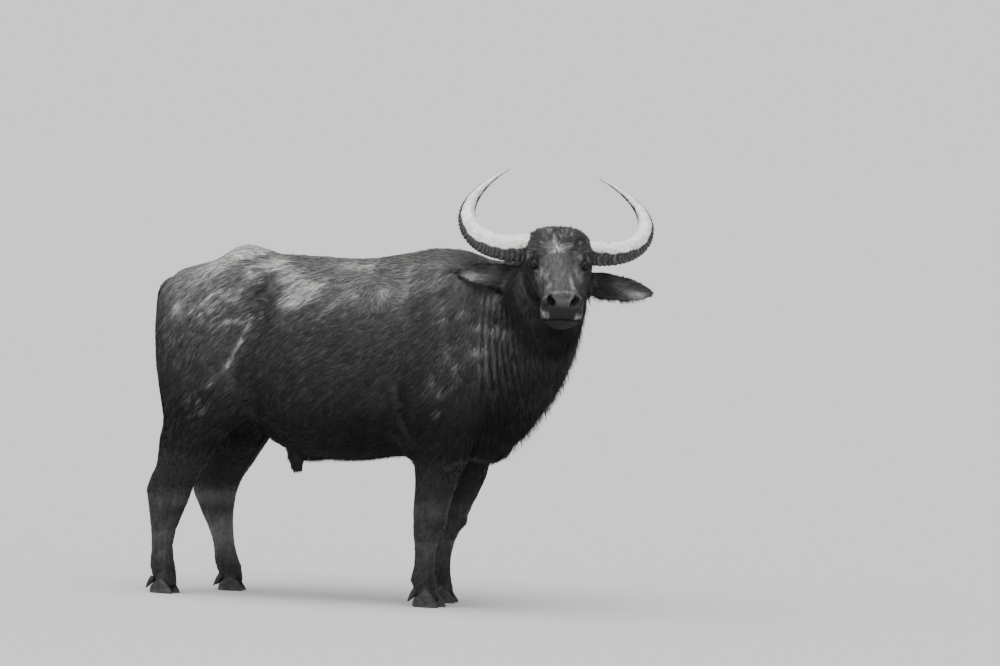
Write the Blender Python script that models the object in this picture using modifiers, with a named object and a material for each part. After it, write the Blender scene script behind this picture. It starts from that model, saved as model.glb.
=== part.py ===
"""A wild water buffalo bull, life size, standing with its head turned to its right.

Units are metres and +Z is up. The animal faces +X, its left side is +Y and all its soles rest on
z = 0. The flesh is lofted part by part, merged into one smooth body and parted with thin cuts into
trunk, neck, head and legs. Horns, ears, tail, eyes and hooves are fitted to that body.
"""

import math

import bmesh
import bpy
import numpy as np
from mathutils import Matrix, Vector

# Driving dimensions of the animal, which is 1.66 m high at the withers
HEAD_AZIMUTH = math.radians(-68)
HEAD_PITCH = math.radians(-31)
EYE_LINE = Vector((1.264, -0.168, 1.617))
EYE_RADIUS = 0.0215
EYE_CENTRE = (0.030, 0.1140, 0.002)
CUT_WIDTH = 0.0006
FIT_GAP = 0.0009

# Working detail of the merged body
BODY_VOXEL = 0.010
BODY_TRIANGLES = 4100
HEAD_DETAIL = 0.10
LOFT_STEPS = 44
RING_POINTS = 40
WEIGHT_STEPS = 20

# Smoothing of the merged body: vertex group (empty is all of it), strength and number of turns
SOFTENING = (
    ("", 0.5, 7),
    ("head", 0.5, 8),
    ("torso", 0.7, 190),
)

UP = Vector((0, 0, 1))
LEFT = Vector((0, 1, 0))
FORWARD = Vector((1, 0, 0))

# Head axes: NOSE runs down the face, BROW stands up from the forehead, HEAD_LEFT is the animal's left
NOSE = Vector((
    math.cos(HEAD_AZIMUTH) * math.cos(HEAD_PITCH),
    math.sin(HEAD_AZIMUTH) * math.cos(HEAD_PITCH),
    math.sin(HEAD_PITCH),
))
HEAD_LEFT = UP.cross(NOSE).normalized()
BROW = NOSE.cross(HEAD_LEFT).normalized()
HEAD_BACK = Vector((-math.cos(HEAD_AZIMUTH), -math.sin(HEAD_AZIMUTH), 0))


def in_head(along, left, above):
    """The world point that lies this far down the nose, to the left and above the eye line."""
    return EYE_LINE + NOSE * along + HEAD_LEFT * left + BROW * above


def smooth_rows(rows, count):
    """Rows of numbers read at even steps of their first column, on monotone cubic curves."""
    rows = np.array(rows, float)
    t = rows[:, 0]
    step = np.diff(t)[:, None]
    slope = np.diff(rows, axis=0) / step
    tangent = np.zeros_like(rows)
    before, after = slope[:-1], slope[1:]
    w_before, w_after = 2 * step[1:] + step[:-1], step[1:] + 2 * step[:-1]
    same_way = before * after > 0
    safe_before, safe_after = np.where(same_way, before, 1), np.where(same_way, after, 1)
    mean = (w_before + w_after) / (w_before / safe_before + w_after / safe_after)
    tangent[1:-1] = np.where(same_way, mean, 0)
    tangent[0], tangent[-1] = slope[0], slope[-1]
    at = np.linspace(t[0], t[-1], count)
    i = np.clip(np.searchsorted(t, at, side="right") - 1, 0, len(t) - 2)
    h = step[i]
    f = ((at - t[i])[:, None]) / h
    left_part = (2 * f**3 - 3 * f**2 + 1) * rows[i] + (f**3 - 2 * f**2 + f) * h * tangent[i]
    right_part = (3 * f**2 - 2 * f**3) * rows[i + 1] + (f**3 - f**2) * h * tangent[i + 1]
    return left_part + right_part


def through_points(points, count, closed=False):
    """A smooth line through a few points, as evenly parted points on Catmull-Rom spans."""
    points = np.array(points, float)
    n = len(points)
    spans = n if closed else n - 1
    t = np.linspace(0, spans, count, endpoint=not closed)
    i = np.minimum(t.astype(int), spans - 1)
    f = (t - i)[:, None]
    pick = (lambda k: points[k % n]) if closed else (lambda k: points[np.clip(k, 0, n - 1)])
    a, b, c, d = pick(i - 1), pick(i), pick(i + 1), pick(i + 2)
    bend = (2 * a - 5 * b + 4 * c - d) * f**2 + (3 * b - a - 3 * c + d) * f**3
    return 0.5 * (2 * b + (c - a) * f + bend)


def oval(centre, side, up, half_width, above, below, power_above=2.0, power_below=2.0):
    """A ring in the plane of side and up, whose halves have their own height and squareness."""
    angle = np.linspace(0, 2 * math.pi, RING_POINTS, endpoint=False)
    c, s = np.cos(angle), np.sin(angle)
    power = np.where(s >= 0, power_above, power_below)
    height = np.where(s >= 0, above, below)
    across = np.sign(c) * np.abs(c) ** (2 / power) * half_width
    along = np.sign(s) * np.abs(s) ** (2 / power) * height
    return np.array(centre) + across[:, None] * np.array(side) + along[:, None] * np.array(up)


def loft(name, rings):
    """A closed mesh through rings of equal point count, capped at both ends and turned to face out."""
    rings = np.array(rings)
    count, ring_size = rings.shape[:2]
    body = bmesh.new()
    grid = [[body.verts.new(point) for point in ring] for ring in rings]
    for lower, upper in zip(grid, grid[1:]):
        for k in range(ring_size):
            after = (k + 1) % ring_size
            body.faces.new((lower[k], lower[after], upper[after], upper[k]))
    body.faces.new(grid[0])
    body.faces.new(grid[-1])
    bmesh.ops.recalc_face_normals(body, faces=body.faces)
    mesh = bpy.data.meshes.new(name)
    body.to_mesh(mesh)
    body.free()
    return mesh


def muscle(name, centre, radii, turn=(0, 0, 0)):
    """An ellipsoid that swells the body where a muscle or a bone lies under the skin."""
    body = bmesh.new()
    bmesh.ops.create_uvsphere(body, u_segments=24, v_segments=16, radius=1)
    turned = Matrix.Rotation(turn[2], 4, "Z") @ Matrix.Rotation(turn[1], 4, "Y")
    turned = turned @ Matrix.Rotation(turn[0], 4, "X")
    body.transform(Matrix.Translation(centre) @ turned @ Matrix.Diagonal((*radii, 1)))
    mesh = bpy.data.meshes.new(name)
    body.to_mesh(mesh)
    body.free()
    return mesh


def put(name, mesh, collection, helper=False):
    """An object for the mesh, in its collection. A helper is left out of the model."""
    thing = bpy.data.objects.new(name, mesh)
    collection.objects.link(thing)
    if helper:
        thing.hide_render = True
        thing.display_type = "WIRE"
    return thing


def evaluated_mesh(thing):
    """The mesh that an object's modifiers make, as a mesh of its own."""
    bpy.context.view_layer.update()
    graph = bpy.context.evaluated_depsgraph_get()
    return bpy.data.meshes.new_from_object(thing.evaluated_get(graph))


def boolean(thing, other, operation):
    """Adds an exact Boolean of thing with other."""
    cut = thing.modifiers.new(operation.title(), "BOOLEAN")
    cut.operation = operation
    cut.object = other
    cut.solver = "EXACT"


def material(name, colour, roughness):
    """A plain finish: dull hide, horn or eye."""
    made = bpy.data.materials.new(name)
    made.use_nodes = True
    shader = made.node_tree.nodes["Principled BSDF"]
    shader.inputs["Base Color"].default_value = (*colour, 1)
    shader.inputs["Roughness"].default_value = roughness
    shader.inputs["Metallic"].default_value = 0
    return made


# Trunk: x, top, bottom, half width, height of the widest place, squareness above and below it
TRUNK = (
    (-0.742, 1.330, 1.020, 0.050, 1.190, 2.0, 2.0),
    (-0.728, 1.400, 0.960, 0.110, 1.190, 2.1, 2.0),
    (-0.700, 1.462, 0.900, 0.165, 1.190, 2.2, 2.0),
    (-0.640, 1.510, 0.850, 0.210, 1.200, 2.2, 2.0),
    (-0.540, 1.540, 0.810, 0.245, 1.220, 2.2, 2.0),
    (-0.430, 1.572, 0.790, 0.265, 1.230, 2.2, 2.0),
    (-0.360, 1.626, 0.800, 0.272, 1.220, 2.0, 2.0),
    (-0.290, 1.640, 0.800, 0.280, 1.200, 2.0, 2.0),
    (-0.210, 1.612, 0.772, 0.292, 1.150, 2.1, 2.0),
    (-0.100, 1.598, 0.700, 0.318, 1.100, 2.2, 2.1),
    (0.030, 1.600, 0.662, 0.345, 1.060, 2.2, 2.2),
    (0.180, 1.592, 0.650, 0.360, 1.050, 2.2, 2.2),
    (0.320, 1.600, 0.660, 0.355, 1.050, 2.1, 2.2),
    (0.460, 1.630, 0.680, 0.328, 1.050, 2.0, 2.1),
    (0.600, 1.658, 0.675, 0.295, 1.060, 1.9, 2.1),
    (0.700, 1.664, 0.662, 0.275, 1.060, 1.8, 2.0),
    (0.800, 1.652, 0.668, 0.250, 1.080, 1.8, 1.9),
    (0.880, 1.600, 0.700, 0.200, 1.100, 1.8, 1.8),
    (0.930, 1.500, 0.760, 0.120, 1.120, 1.9, 1.9),
)

# Neck: centre x, y, z, azimuth and pitch of its run in degrees, height above and below, half width
NECK = (
    (0.640, 0.000, 1.180, 0, 0, 0.468, 0.480, 0.250),
    (0.780, 0.002, 1.200, -3, 7, 0.445, 0.490, 0.238),
    (0.900, 0.004, 1.235, -10, 14, 0.400, 0.490, 0.215),
    (1.010, 0.000, 1.285, -22, 22, 0.345, 0.425, 0.196),
    (1.100, -0.018, 1.345, -38, 28, 0.330, 0.366, 0.192),
    (1.165, -0.060, 1.410, -52, 31, 0.300, 0.318, 0.188),
    (1.205, -0.110, 1.475, -62, 31, 0.255, 0.250, 0.170),
)

# Head rings: place down the nose, top, then upper corner, cheek and lower corner as (left, above),
# then bottom
HEAD = (
    (-0.235, 0.022, (0.080, -0.006), (0.122, -0.074), (0.092, -0.160), -0.190),
    (-0.200, 0.067, (0.106, 0.038), (0.142, -0.044), (0.116, -0.150), -0.202),
    (-0.160, 0.096, (0.114, 0.070), (0.153, -0.024), (0.130, -0.150), -0.218),
    (-0.110, 0.105, (0.112, 0.078), (0.156, -0.008), (0.138, -0.152), -0.234),
    (-0.060, 0.099, (0.104, 0.072), (0.156, 0.002), (0.138, -0.148), -0.237),
    (-0.010, 0.085, (0.092, 0.060), (0.148, 0.004), (0.132, -0.136), -0.228),
    (0.040, 0.071, (0.078, 0.046), (0.127, -0.016), (0.120, -0.128), -0.210),
    (0.100, 0.059, (0.064, 0.034), (0.108, -0.040), (0.100, -0.120), -0.188),
    (0.170, 0.050, (0.056, 0.026), (0.090, -0.046), (0.082, -0.110), -0.168),
    (0.235, 0.046, (0.060, 0.022), (0.088, -0.042), (0.080, -0.108), -0.160),
    (0.290, 0.042, (0.070, 0.018), (0.097, -0.038), (0.089, -0.110), -0.160),
    (0.330, 0.026, (0.070, 0.006), (0.098, -0.044), (0.087, -0.114), -0.156),
    (0.356, -0.002, (0.056, -0.014), (0.082, -0.054), (0.070, -0.104), -0.136),
    (0.368, -0.028, (0.030, -0.034), (0.044, -0.060), (0.034, -0.088), -0.106),
)

# Legs: height, x and half length fore and aft, then distance from the mid-plane and half width
FORE_RIGHT = (
    (1.260, 0.690, 0.120, 0.150, 0.085),
    (1.120, 0.735, 0.175, 0.172, 0.105),
    (0.980, 0.755, 0.190, 0.188, 0.112),
    (0.860, 0.735, 0.178, 0.185, 0.105),
    (0.760, 0.722, 0.155, 0.178, 0.092),
    (0.660, 0.716, 0.122, 0.172, 0.076),
    (0.560, 0.700, 0.101, 0.168, 0.066),
    (0.470, 0.684, 0.086, 0.165, 0.060),
    (0.405, 0.676, 0.080, 0.164, 0.063),
    (0.350, 0.670, 0.073, 0.163, 0.060),
    (0.290, 0.661, 0.056, 0.162, 0.047),
    (0.215, 0.657, 0.050, 0.161, 0.043),
    (0.165, 0.653, 0.054, 0.160, 0.047),
    (0.125, 0.652, 0.060, 0.160, 0.055),
    (0.090, 0.662, 0.057, 0.160, 0.056),
    (0.050, 0.676, 0.050, 0.160, 0.054),
    (0.030, 0.680, 0.044, 0.160, 0.048),
)
HIND_RIGHT = (
    (1.440, -0.470, 0.180, 0.130, 0.080),
    (1.300, -0.472, 0.225, 0.150, 0.110),
    (1.150, -0.462, 0.238, 0.160, 0.126),
    (1.000, -0.432, 0.240, 0.168, 0.128),
    (0.880, -0.434, 0.212, 0.175, 0.118),
    (0.780, -0.470, 0.172, 0.182, 0.102),
    (0.690, -0.510, 0.146, 0.186, 0.086),
    (0.610, -0.540, 0.124, 0.188, 0.074),
    (0.540, -0.574, 0.116, 0.190, 0.065),
    (0.480, -0.598, 0.112, 0.190, 0.060),
    (0.420, -0.604, 0.096, 0.190, 0.057),
    (0.350, -0.614, 0.076, 0.190, 0.053),
    (0.290, -0.620, 0.061, 0.190, 0.046),
    (0.215, -0.624, 0.053, 0.190, 0.043),
    (0.165, -0.624, 0.056, 0.190, 0.047),
    (0.125, -0.620, 0.060, 0.190, 0.054),
    (0.090, -0.612, 0.058, 0.190, 0.055),
    (0.050, -0.600, 0.050, 0.190, 0.053),
    (0.030, -0.596, 0.044, 0.190, 0.047),
)
FORE_LEFT_SHIFT = -0.034
FORE_LEFT_KNEE = 0.036
HIND_LEFT_FORWARD = 0.190
HIND_LEFT_BEND = 0.045
LEG_SQUARENESS = 2.2


def trunk_mesh():
    """The barrel from rump to chest, as upright rings along x."""
    rings = []
    for x, top, bottom, half, wide, above, below in smooth_rows(TRUNK, LOFT_STEPS):
        rings.append(oval((x, 0, wide), LEFT, UP, half, top - wide, wide - bottom, above, below))
    return loft("trunk_form", rings)


def neck_mesh():
    """The deep neck, whose rings turn with its bend to the right."""
    rows = np.array(NECK)
    place = np.concatenate([[0], np.cumsum(np.linalg.norm(np.diff(rows[:, :3], axis=0), axis=1))])
    rings = []
    for row in smooth_rows(np.column_stack([place, rows]), LOFT_STEPS // 2):
        azimuth, pitch = math.radians(row[4]), math.radians(row[5])
        side = Vector((-math.sin(azimuth), math.cos(azimuth), 0))
        lean = -math.sin(pitch)
        up = Vector((lean * math.cos(azimuth), lean * math.sin(azimuth), math.cos(pitch)))
        rings.append(oval(row[1:4], side, up, row[8], row[6], row[7], 1.8, 1.75))
    return loft("neck_form", rings)


def head_mesh():
    """The head, as rings across the nose line, each a smooth closed line through eight places."""
    flat = [(n, top, *a, *b, *c, bottom) for n, top, a, b, c, bottom in HEAD]
    rings = []
    for n, top, ax, af, bx, bf, cx, cf, bottom in smooth_rows(flat, LOFT_STEPS):
        half = [(ax, af), (bx, bf), (cx, cf)]
        outline = [(0, top), *half, (0, bottom), *[(-x, f) for x, f in reversed(half)]]
        line = through_points(outline, RING_POINTS, closed=True)
        rings.append([in_head(n, left, above) for left, above in line])
    return loft("head_form", rings)


def leg_mesh(name, stations, side, shift_at):
    """A leg of level rings on the right (-1) or the left (1), each moved forward by shift_at."""
    rings = []
    for z, x, half_long, y, half_wide in smooth_rows(stations[::-1], LOFT_STEPS + 12):
        centre = (x + shift_at(z), side * y, z)
        ring = oval(centre, LEFT, FORWARD, half_wide, half_long, half_long, LEG_SQUARENESS,
                    LEG_SQUARENESS)
        rings.append(ring)
    return loft(name, rings)


def hind_left_shift(z):
    """How far forward the left hind leg stands: none at the hip, all of it from the hock down."""
    hip, hock = 1.30, 0.10
    share = min(max((hip - z) / (hip - hock), 0), 1)
    hock_bend = HIND_LEFT_BEND * math.exp(-(((z - 0.45) / 0.16) ** 2))
    return HIND_LEFT_FORWARD * share**0.9 - hock_bend


def fore_left_shift(z):
    """The left foreleg stands a little further back at the foot."""
    bent_knee = FORE_LEFT_KNEE * math.exp(-(((z - 0.56) / 0.16) ** 2))
    return FORE_LEFT_SHIFT * min(max((0.9 - z) / 0.8, 0), 1) + bent_knee


# Muscles and bones that show through: name, centre on the right side, radii, turn in radians
SWELLS = (
    ("hip_bone", (-0.215, -0.192, 1.462), (0.115, 0.062, 0.085), (0, 0.2, 0)),
    ("pin_bone", (-0.675, -0.090, 1.350), (0.060, 0.055, 0.085), (0, 0, 0)),
    ("thigh", (-0.480, -0.185, 1.110), (0.205, 0.110, 0.290), (0, 0.10, 0)),
    ("stifle", (-0.310, -0.205, 0.900), (0.120, 0.085, 0.130), (0, 0.3, 0)),
    ("shoulder_blade", (0.650, -0.166, 1.330), (0.200, 0.090, 0.290), (0.12, 0.25, 0)),
    ("shoulder_point", (0.850, -0.165, 1.080), (0.120, 0.105, 0.150), (0, 0, 0)),
    ("triceps", (0.610, -0.205, 1.010), (0.160, 0.095, 0.200), (0, 0.45, 0)),
    ("elbow", (0.612, -0.190, 0.775), (0.075, 0.070, 0.110), (0, 0, 0)),
    ("forearm", (0.735, -0.180, 0.690), (0.095, 0.072, 0.150), (0, 0, 0)),
    ("knee", (0.690, -0.164, 0.392), (0.072, 0.062, 0.062), (0, 0, 0)),
    ("gaskin", (-0.500, -0.205, 0.740), (0.110, 0.078, 0.140), (0, 0.5, 0)),
    ("belly_side", (0.200, -0.150, 0.980), (0.360, 0.235, 0.290), (0, 0, 0)),
)
HEAD_SWELLS = (
    ("orbit", (-0.042, 0.112, 0.012), (0.052, 0.045, 0.045)),
    ("brow", (-0.020, 0.096, 0.044), (0.050, 0.034, 0.026)),
    ("cheek", (-0.020, 0.090, -0.130), (0.105, 0.050, 0.075)),
    ("nostril", (0.325, 0.062, -0.006), (0.040, 0.038, 0.036)),
    ("lip", (0.300, 0.060, -0.080), (0.050, 0.040, 0.036)),
)
MIDLINE_SWELLS = (
    ("sacral_hump", (-0.300, 0, 1.550), (0.130, 0.110, 0.096), (0, 0, 0)),
    ("withers", (0.680, 0, 1.520), (0.280, 0.085, 0.150), (0, 0, 0)),
    ("brisket", (0.890, 0, 0.800), (0.150, 0.120, 0.130), (0, -0.5, 0)),
    ("scrotum", (-0.430, 0.0, 0.740), (0.058, 0.055, 0.110), (0, 0.1, 0)),
    ("navel_fold", (0.030, 0, 0.700), (0.125, 0.060, 0.062), (0, 0.1, 0)),
)
SHEATH = ((-0.050, 0, 0.700, 0.050), (-0.046, 0, 0.650, 0.040), (-0.040, 0, 0.610, 0.032),
          (-0.034, 0, 0.584, 0.028), (-0.032, 0, 0.578, 0.020))


def sheath_mesh():
    """The sheath, a short tube of round level rings."""
    rings = []
    for x, y, z, radius in SHEATH:
        ring = oval((x, y, z), LEFT, FORWARD, radius, radius, radius)
        rings.append(ring[::2])
    return loft("sheath", rings)


TAIL = ((-0.600, 0.000, 1.430, 0.055), (-0.670, 0.000, 1.425, 0.050), (-0.712, 0.000, 1.392, 0.040),
        (-0.730, 0.000, 1.320, 0.031), (-0.738, 0.000, 1.220, 0.026), (-0.736, 0.004, 1.100, 0.023),
        (-0.724, 0.014, 0.960, 0.020), (-0.707, 0.028, 0.830, 0.018), (-0.690, 0.040, 0.710, 0.018))
TAIL_TUFT = ((-0.6895, 0.0402, 0.7060, 0.018), (-0.684, 0.045, 0.660, 0.034),
             (-0.676, 0.050, 0.590, 0.038), (-0.668, 0.054, 0.520, 0.027),
             (-0.664, 0.056, 0.470, 0.010))


def along_path(name, stations, count, points):
    """A round tube along a bent path, whose rings stand square to it."""
    line = through_points([s[:3] for s in stations], count)
    radii = through_points([(s[3],) for s in stations], count)[:, 0]
    run = np.gradient(line, axis=0)
    rings = []
    for centre, radius, way in zip(line, radii, run):
        way = Vector(way).normalized()
        side = LEFT - way * LEFT.dot(way)
        side.normalize()
        angle = np.linspace(0, 2 * math.pi, points, endpoint=False)
        across = np.outer(np.cos(angle), side) + np.outer(np.sin(angle), way.cross(side))
        rings.append(centre + radius * across)
    return loft(name, rings)


def body_mesh(helpers):
    """All the flesh merged into one closed skin, smoothed and lightened to its working detail."""
    forms = [
        trunk_mesh(),
        neck_mesh(),
        head_mesh(),
        leg_mesh("fore_right", FORE_RIGHT, -1, lambda z: 0),
        leg_mesh("fore_left", FORE_RIGHT, 1, fore_left_shift),
        leg_mesh("hind_right", HIND_RIGHT, -1, lambda z: 0),
        leg_mesh("hind_left", HIND_RIGHT, 1, hind_left_shift),
        sheath_mesh(),
    ]
    for name, centre, radii, turn in SWELLS:
        for side in (-1, 1):
            shift = 0
            if side == 1 and centre[0] < 0:
                shift = hind_left_shift(centre[2])
            elif side == 1:
                shift = fore_left_shift(centre[2])
            place = (centre[0] + shift, -side * centre[1], centre[2])
            forms.append(muscle(name, place, radii, (side * turn[0], turn[1], turn[2])))
    for name, (along, left, above), radii in HEAD_SWELLS:
        for side in (-1, 1):
            form = muscle(name, (0, 0, 0), radii)
            axes = Matrix((NOSE, HEAD_LEFT, BROW)).transposed().to_4x4()
            form.transform(Matrix.Translation(in_head(along, side * left, above)) @ axes)
            forms.append(form)
    forms += [muscle(*swell) for swell in MIDLINE_SWELLS]
    merged = bmesh.new()
    for form in forms:
        merged.from_mesh(form)
    mesh = bpy.data.meshes.new("flesh")
    merged.to_mesh(mesh)
    merged.free()
    flesh = put("flesh", mesh, helpers, helper=True)
    remesh = flesh.modifiers.new("Merge", "REMESH")
    remesh.mode = "VOXEL"
    remesh.voxel_size = BODY_VOXEL
    full = evaluated_mesh(flesh)
    flesh.modifiers.clear()
    flesh.data = full
    places = np.empty(len(full.vertices) * 3)
    full.vertices.foreach_get("co", places)
    places = places.reshape(-1, 3)
    down_nose = (places - np.array(EYE_LINE)) @ np.array(NOSE)
    under_brow = (places - np.array(EYE_LINE)) @ np.array(BROW)
    on_head = np.clip((down_nose + 0.22) / 0.08, 0, 1) * np.clip((under_brow + 0.32) / 0.08, 0, 1)
    on_torso = np.clip((places[:, 2] - 0.74) / 0.16, 0, 1) * (1 - on_head)
    weigh(flesh, "torso", on_torso)
    weigh(flesh, "plain", np.clip(1 - 0.75 * on_head - 0.3 * (places[:, 2] < 0.7), 0, 1))
    weigh(flesh, "head", on_head)
    for group, factor, turns in SOFTENING:
        soften = flesh.modifiers.new("Soften " + group, "SMOOTH")
        soften.factor = factor
        soften.iterations = turns
        soften.vertex_group = group
    lighten = flesh.modifiers.new("Lighten", "DECIMATE")
    lighten.ratio = BODY_TRIANGLES / (2 * len(full.polygons))
    lighten.vertex_group = "plain"
    lighten.vertex_group_factor = HEAD_DETAIL
    return evaluated_mesh(flesh)


def weigh(thing, name, weights):
    """A vertex group whose weights follow the numbers given, in even steps."""
    group = thing.vertex_groups.new(name=name)
    steps = np.round(weights * WEIGHT_STEPS).astype(int)
    for step in range(1, WEIGHT_STEPS + 1):
        group.add(np.flatnonzero(steps == step).tolist(), step / WEIGHT_STEPS, "REPLACE")


def sheet(name, rows, helpers):
    """A thin cutter: a bent sheet through rows of points, with its wall thickness by Solidify."""
    body = bmesh.new()
    grid = [[body.verts.new(point) for point in row] for row in rows]
    for first, second in zip(grid, grid[1:]):
        for k in range(len(first) - 1):
            body.faces.new((first[k], first[k + 1], second[k + 1], second[k]))
    mesh = bpy.data.meshes.new(name)
    body.to_mesh(mesh)
    body.free()
    cutter = put(name, mesh, helpers, helper=True)
    wall = cutter.modifiers.new("Wall", "SOLIDIFY")
    wall.thickness = CUT_WIDTH
    wall.offset = 0
    return cutter


def level_sheet(name, x_from, x_to, y_from, y_to, z, helpers):
    """A level cut through a leg or the sheath."""
    return sheet(name, [[(x, y, z) for y in (y_from, y_to)] for x in (x_from, x_to)], helpers)


def cutting_sheets(helpers):
    """Every cut between named parts of the flesh.

    The cut behind the jaw runs down the back of the head and under the chin, as places along the
    nose and above it, and bends forward past the right cheek, where the neck lies close.
    """
    behind_jaw = [(-0.195, 0.300), (-0.175, 0.060), (-0.140, -0.200), (-0.085, -0.262),
                  (0.020, -0.272), (0.200, -0.262), (0.420, -0.300)]
    head_rows = []
    for n, f in behind_jaw:
        row = [in_head(n + 1.4 * max(0, -s - 0.16), s, f) for s in (-0.45, -0.30, -0.16, 0.40)]
        head_rows.append(row)
    neck_line = [(0.700, 1.80), (0.800, 1.40), (0.960, 1.00), (1.000, 0.55)]
    return [
        sheet("cut_head", head_rows, helpers),
        sheet("cut_neck", [[(x, y, z) for y in (-0.5, 0.5)] for x, z in neck_line], helpers),
        level_sheet("cut_fore_right", 0.470, 1.000, -0.38, -0.02, 0.636, helpers),
        level_sheet("cut_fore_left", 0.470, 1.000, 0.02, 0.38, 0.636, helpers),
        level_sheet("cut_hind_right", -0.800, -0.260, -0.335, -0.065, 0.668, helpers),
        level_sheet("cut_hind_left", -0.740, -0.170, 0.065, 0.335, 0.668, helpers),
        level_sheet("cut_sheath", -0.130, 0.060, -0.08, 0.08, 0.630, helpers),
    ]


def islands(mesh):
    """The separate closed bodies in a mesh, each with its middle and its number of vertices."""
    whole = bmesh.new()
    whole.from_mesh(mesh)
    whole.verts.ensure_lookup_table()
    seen, found = set(), []
    for start in whole.verts:
        if start.index in seen:
            continue
        group, queue = {start.index}, [start]
        while queue:
            here = queue.pop()
            for edge in here.link_edges:
                other = edge.other_vert(here)
                if other.index not in group:
                    group.add(other.index)
                    queue.append(other)
        seen |= group
        found.append(group)
    made = []
    for group in found:
        part = bmesh.new()
        part.from_mesh(mesh)
        part.verts.ensure_lookup_table()
        bmesh.ops.delete(part, geom=[v for v in part.verts if v.index not in group], context="VERTS")
        middle = sum((v.co for v in part.verts), Vector()) / len(part.verts)
        piece = bpy.data.meshes.new("flesh_part")
        part.to_mesh(piece)
        part.free()
        made.append((piece, middle, len(group)))
    whole.free()
    return made


# Where the middle of each flesh part is looked for
FLESH_PARTS = {
    "trunk": (0.0, 0.0, 1.15),
    "neck": (1.00, 0.0, 1.25),
    "head": (1.29, -0.22, 1.55),
    "leg_fore_right": (0.67, -0.16, 0.35),
    "leg_fore_left": (0.66, 0.16, 0.35),
    "leg_hind_right": (-0.60, -0.19, 0.35),
    "leg_hind_left": (-0.46, 0.19, 0.35),
    "sheath": (-0.04, 0.0, 0.60),
}

# Horn: sideways, back and up from the eye line, then widths in the plane of the horn and across it
HORN = (
    (0.085, 0.108, 0.058, 0.130, 0.112),
    (0.150, 0.108, 0.060, 0.134, 0.114),
    (0.205, 0.106, 0.058, 0.132, 0.110),
    (0.262, 0.110, 0.062, 0.126, 0.104),
    (0.315, 0.124, 0.074, 0.118, 0.097),
    (0.362, 0.152, 0.100, 0.108, 0.090),
    (0.396, 0.192, 0.138, 0.096, 0.080),
    (0.411, 0.236, 0.181, 0.083, 0.068),
    (0.408, 0.278, 0.222, 0.070, 0.056),
    (0.390, 0.318, 0.262, 0.057, 0.045),
    (0.358, 0.358, 0.303, 0.044, 0.034),
    (0.316, 0.392, 0.342, 0.031, 0.023),
    (0.264, 0.422, 0.380, 0.018, 0.013),
    (0.212, 0.444, 0.410, 0.006, 0.005),
)
HORN_STEPS = 26
HORN_RING = 10
LEFT_HORN_DROOP = 0.017
LEFT_HORN_LOWER = 0.016
LEFT_HORN_OUT = 0.007
LEFT_HORN_SLIMMER = 0.89


def horn_mesh(name, side):
    """One horn: a crescent in a plane that leans back, flat above and keeled along its outer curve."""
    rows = through_points(HORN, HORN_STEPS)
    plane_normal = (UP - HEAD_BACK).normalized()
    droop = np.zeros(HORN_STEPS)
    if side > 0:
        droop = LEFT_HORN_LOWER + LEFT_HORN_DROOP * np.linspace(0, 1, HORN_STEPS) ** 3
        rows[:, 3:] *= LEFT_HORN_SLIMMER
    centres = []
    for (left, back, up, *_), drop in zip(rows, droop):
        outward = side * (left - drop / 3) + (LEFT_HORN_OUT if side > 0 else 0)
        centres.append(EYE_LINE + HEAD_LEFT * outward + HEAD_BACK * back + UP * (up - drop))
    rings = []
    for k, row in enumerate(rows):
        way = (centres[min(k + 1, HORN_STEPS - 1)] - centres[max(k - 1, 0)]).normalized()
        outward = way.cross(plane_normal).normalized() * side
        normal = outward.cross(way).normalized() * side
        angle = np.linspace(0, 2 * math.pi, HORN_RING, endpoint=False) + math.pi / HORN_RING
        ring = []
        for a in angle:
            out, over = math.cos(a), math.sin(a)
            swell = 1 - 0.10 * math.cos(3 * (a + math.pi / 2) - 0.5)
            across = outward * (out * swell * row[3] / 2)
            ring.append(centres[k] + across + normal * (over * swell * row[4] / 2))
        rings.append(ring)
    return loft(name, rings)


# Ear: share of its length, half width, depth of its bowl; it is a leaf rolled round its length
EAR = ((0.00, 0.052, 0.040), (0.12, 0.058, 0.042), (0.28, 0.064, 0.038), (0.45, 0.064, 0.031),
       (0.62, 0.060, 0.022), (0.78, 0.048, 0.013), (0.90, 0.032, 0.007), (1.00, 0.011, 0.002))
EAR_THICK = 0.009
EAR_ENDS = {
    -1: ((0.112, 0.122, -0.094), (0.462, 0.160, -0.058)),
    1: ((0.112, 0.122, -0.092), (0.452, 0.160, -0.140)),
}


def ear_mesh(name, side):
    """One ear: a hollow leaf that stands out sideways, its bowl open to the front."""
    (s0, b0, v0), (s1, b1, v1) = EAR_ENDS[side]
    start = EYE_LINE + HEAD_LEFT * (side * s0) + HEAD_BACK * b0 + UP * v0
    end = EYE_LINE + HEAD_LEFT * (side * s1) + HEAD_BACK * b1 + UP * v1
    run = (end - start).normalized()
    front = (-HEAD_BACK - run * (-HEAD_BACK).dot(run)).normalized()
    front = (front + Vector((0, 0, -0.25))).normalized()
    front = (front - run * front.dot(run)).normalized()
    across = front.cross(run).normalized()
    rings = []
    for share, half, bowl in smooth_rows(EAR, 12):
        centre = start + (end - start) * share
        arc = np.linspace(-1, 1, 7)
        outer = [centre + across * (half * t) - front * (bowl * (1 - t * t)) for t in arc]
        thick = EAR_THICK * min(1, half / 0.03)
        inner = [centre + across * ((half - 0.25 * thick) * t) - front * (bowl * (1 - t * t) - thick)
                 for t in arc]
        rings.append(outer + inner[::-1])
    return loft(name, rings)


# Hoof claw: height, start and end of its section fore and aft, half width
CLAW = ((0.000, -0.052, 0.082, 0.031), (0.012, -0.053, 0.079, 0.0315), (0.035, -0.048, 0.064, 0.030),
        (0.058, -0.022, 0.047, 0.027), (0.080, 0.004, 0.030, 0.020))
CLAW_SPLAY = math.radians(7)
CLAW_APART = 0.0335


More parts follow.
